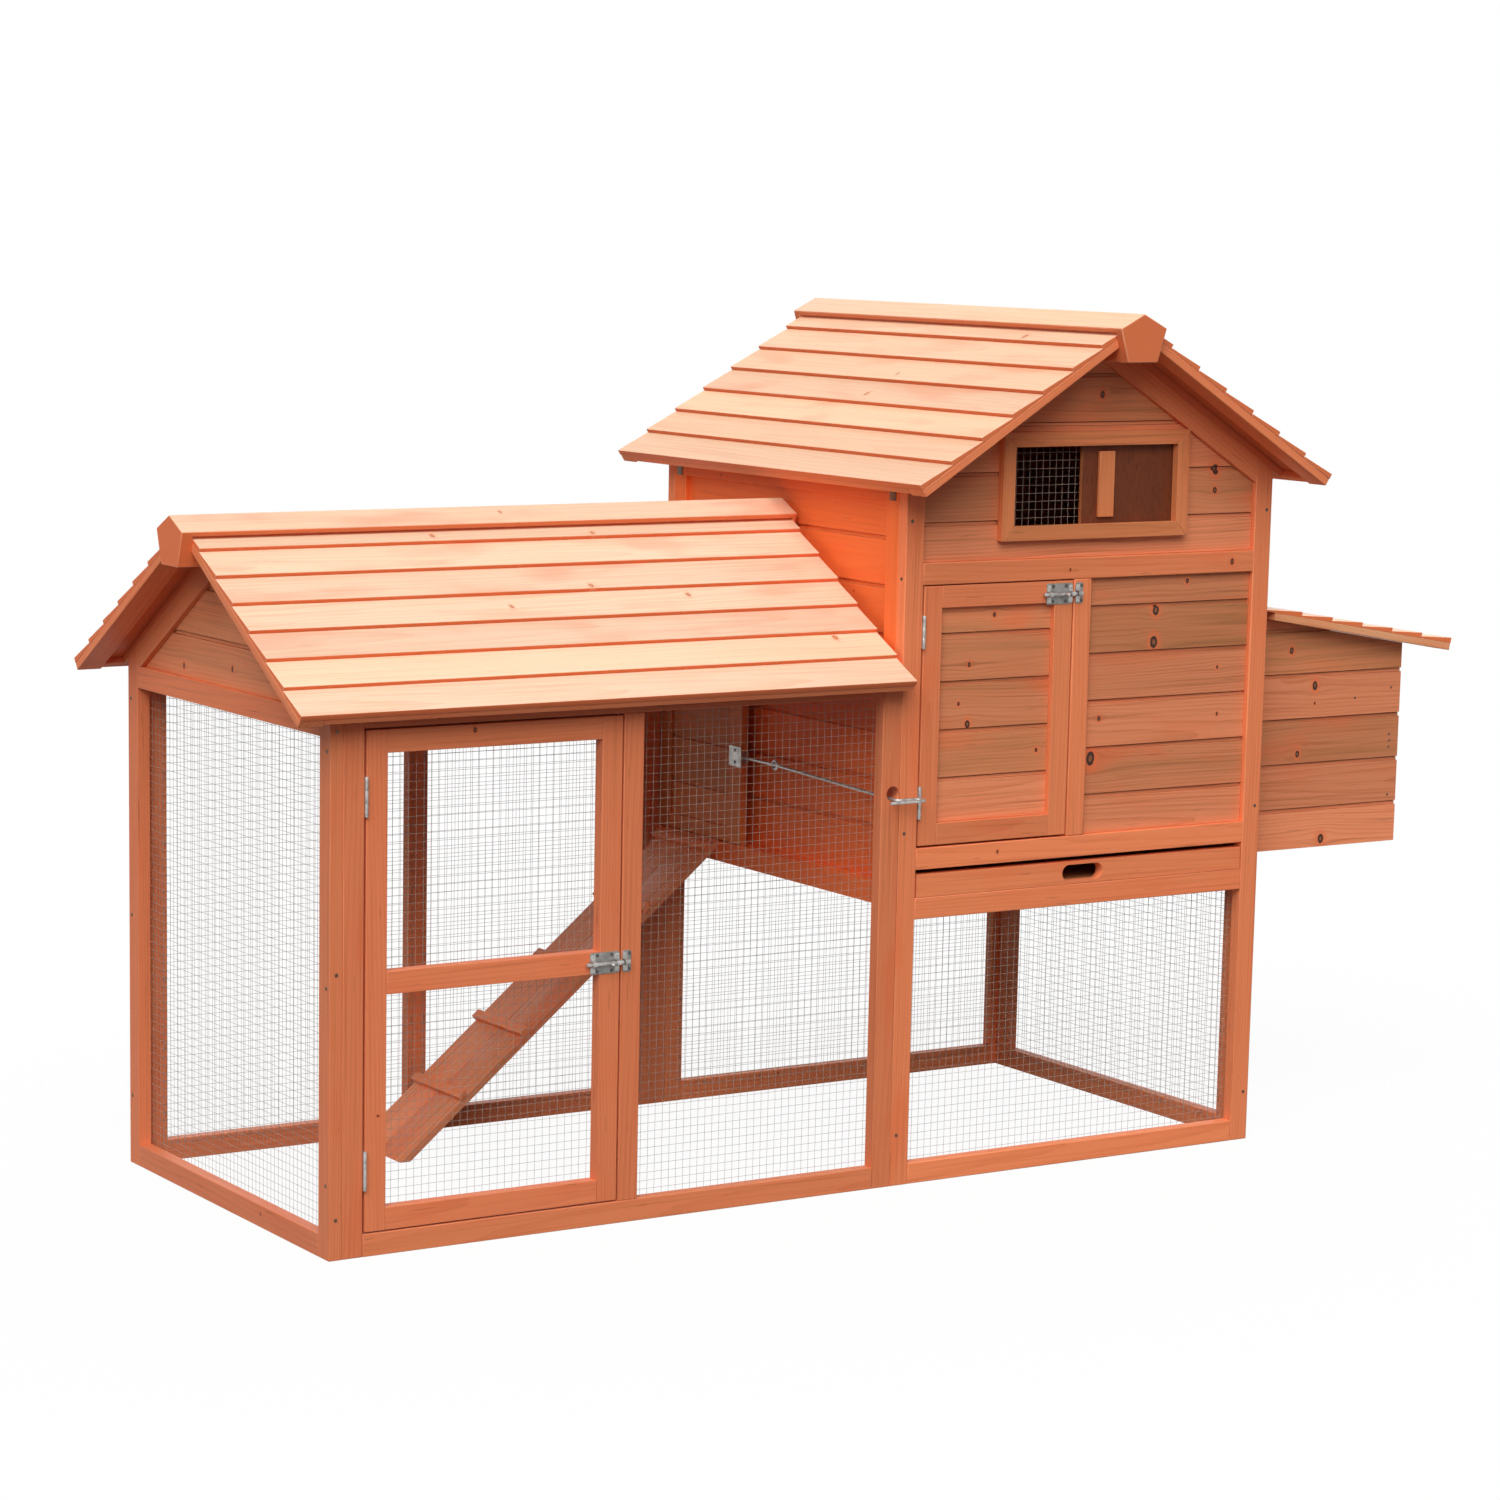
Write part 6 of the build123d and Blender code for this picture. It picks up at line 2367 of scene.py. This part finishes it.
@dataclass(frozen=True)
class Lamp:
    """A broad lamp, far off."""

    name: str
    way: Place
    level: float
    spread: float

    def build(self) -> None:
        """Hang the lamp so that a white surface that faces it shows at its level."""
        light = bpy.data.lights.new(self.name, "SUN")
        light.angle = math.radians(self.spread)
        light.energy = math.pi * self.level
        lamp = stand(self.name, light)
        lamp.rotation_euler = Vector(self.way).to_track_quat("Z", "Y").to_euler()


@dataclass
class Studio:
    """Pale floor, three broad lamps and the camera."""

    camera_at: Place = (-3.5766, -5.4002, 1.5127)
    forward: Place = (0.51051, 0.84456, -0.16155)
    right: Place = (0.85700, -0.51508, 0.01540)
    lens: float = 96.74
    sensor: float = 36.0
    shift: Pair = (0.0810, 0.0763)
    ambient: float = 0.13
    floor_half: float = 40.0
    floor_cells: int = 8
    floor_drop: float = 0.5 * MM
    floor_white: Colour = (0.9, 0.9, 0.9)
    floor_bounce: Colour = (0.11, 0.11, 0.11)
    floor_glow: float = 0.95
    fade_oval: float = 0.4
    fade_start: float = 0.6
    fade_end: float = 1.9
    lamps: tuple[Lamp, ...] = (
        Lamp("key", (-0.44, -0.57, 0.69), 1.0, 55),
        Lamp("fill", (-0.88, -0.46, 0.06), 0.13, 70),
        Lamp("back", (0.62, 0.66, 0.42), 0.32, 70),
    )

    def build(self) -> None:
        """Set up everything that is not part of the coop."""
        scene = bpy.context.scene
        scene.view_settings.view_transform = "Standard"
        self.world(scene)
        self.floor()
        for lamp in self.lamps:
            lamp.build()
        self.camera(scene)

    def seen(self, bench: NodeBench) -> Signal:
        """Tell a ray that shows the background from one that only carries light.

        Args:
            bench: Where the nodes go.

        Returns:
            One for a ray that shows it, nought for the others.
        """
        path = bench.node("ShaderNodeLightPath")
        names = ("Is Camera Ray", "Is Glossy Ray", "Is Transmission Ray")
        rays = [Signal(bench, path.outputs[name]) for name in names]
        return rays[0].at_least(rays[1]).at_least(rays[2])

    def world(self, scene: bpy.types.Scene) -> None:
        """Make the air white to look at, with a plain level of light to stand in.

        Args:
            scene: The scene that it fills.
        """
        world = bpy.data.worlds.new("studio_air")
        world.use_nodes = True
        scene.world = world
        bench = NodeBench(world.node_tree)
        back = bench.node("ShaderNodeBackground")
        bench.feed(back.inputs["Color"], WHITE)
        bench.feed(back.inputs["Strength"], self.seen(bench) * (1.0 - self.ambient) + self.ambient)
        bench.surface(back.outputs[0], "ShaderNodeOutputWorld")

    def floor(self) -> None:
        """Lay a white floor that keeps a soft shadow and fades into the background."""
        name = "studio_floor"
        bm = bmesh.new()
        cells = self.floor_cells
        bmesh.ops.create_grid(bm, x_segments=cells, y_segments=cells, size=self.floor_half)
        mesh = bpy.data.meshes.new(name)
        bm.to_mesh(mesh)
        bm.free()
        floor = stand(name, mesh)
        floor.location.z = -self.floor_drop
        material = bpy.data.materials.new(name)
        material.use_nodes = True
        self.paint_floor(NodeBench(material.node_tree))
        mesh.materials.append(material)

    def paint_floor(self, bench: NodeBench) -> None:
        """Add the floor's nodes: dull to the light, pale to look at, and white further off.

        Args:
            bench: Where the nodes go.
        """
        x, y, _ = bench.split(bench.node("ShaderNodeNewGeometry").outputs["Position"])
        away = (x * x * self.fade_oval + y * y) ** HALF
        fade = away.step(self.fade_start, self.fade_end)
        seen = self.seen(bench)
        glow = seen * (fade * (1.0 - self.floor_glow) + self.floor_glow)
        matt = bench.node("ShaderNodeBsdfDiffuse")
        bench.feed(matt.inputs["Color"], bench.mix(seen, self.floor_bounce, self.floor_white))
        white = bench.node("ShaderNodeEmission")
        bench.feed(white.inputs["Color"], WHITE)
        bench.feed(white.inputs["Strength"], 1.0)
        both = bench.node("ShaderNodeMixShader")
        for socket, value in zip(both.inputs, (glow, matt.outputs[0], white.outputs[0])):
            bench.feed(socket, value)
        bench.surface(both.outputs[0])

    def camera(self, scene: bpy.types.Scene) -> None:
        """Stand the camera where the photograph was taken.

        Args:
            scene: The scene that it looks at.
        """
        lens = bpy.data.cameras.new("camera")
        lens.sensor_width = self.sensor
        lens.lens = self.lens
        lens.shift_x, lens.shift_y = self.shift
        camera = stand("camera", lens)
        forward = Vector(self.forward).normalized()
        up = Vector(self.right).cross(forward).normalized()
        turn = Matrix((forward.cross(up), up, -forward)).transposed().to_4x4()
        camera.matrix_world = Matrix.Translation(self.camera_at) @ turn
        scene.camera = camera


def main() -> None:
    """Build the groups of pieces in order, then the studio round them."""
    logging.basicConfig(level=logging.INFO, format="%(message)s")
    run_rafters = (-1.068, -0.994, -0.527, -0.060)
    house_rafters = (-0.422, -0.324, 0.0, 0.324, 0.422)
    groups = (
        RunPanels(),
        Roof("run_roof_boards", "run_roof_rafters", "run_ridge_beam", X, run_rafters),
        RunDoor(),
        HousePanels(),
        Roof("house_roof_boards", "house_roof_rafters", "house_ridge_beam", Y, house_rafters, HIGH_ROOF_FIR),
        GableWindow(),
        HouseDoor(),
        DroppingsTray(),
        PopDoor(),
        Ramp(),
        NestBox(),
        Screws(),
    )
    count = 0
    for group in groups:
        count += len(group.build())
    LOG.info("%d pieces", count)
    Studio().build()


if __name__ == "__main__":
    main()
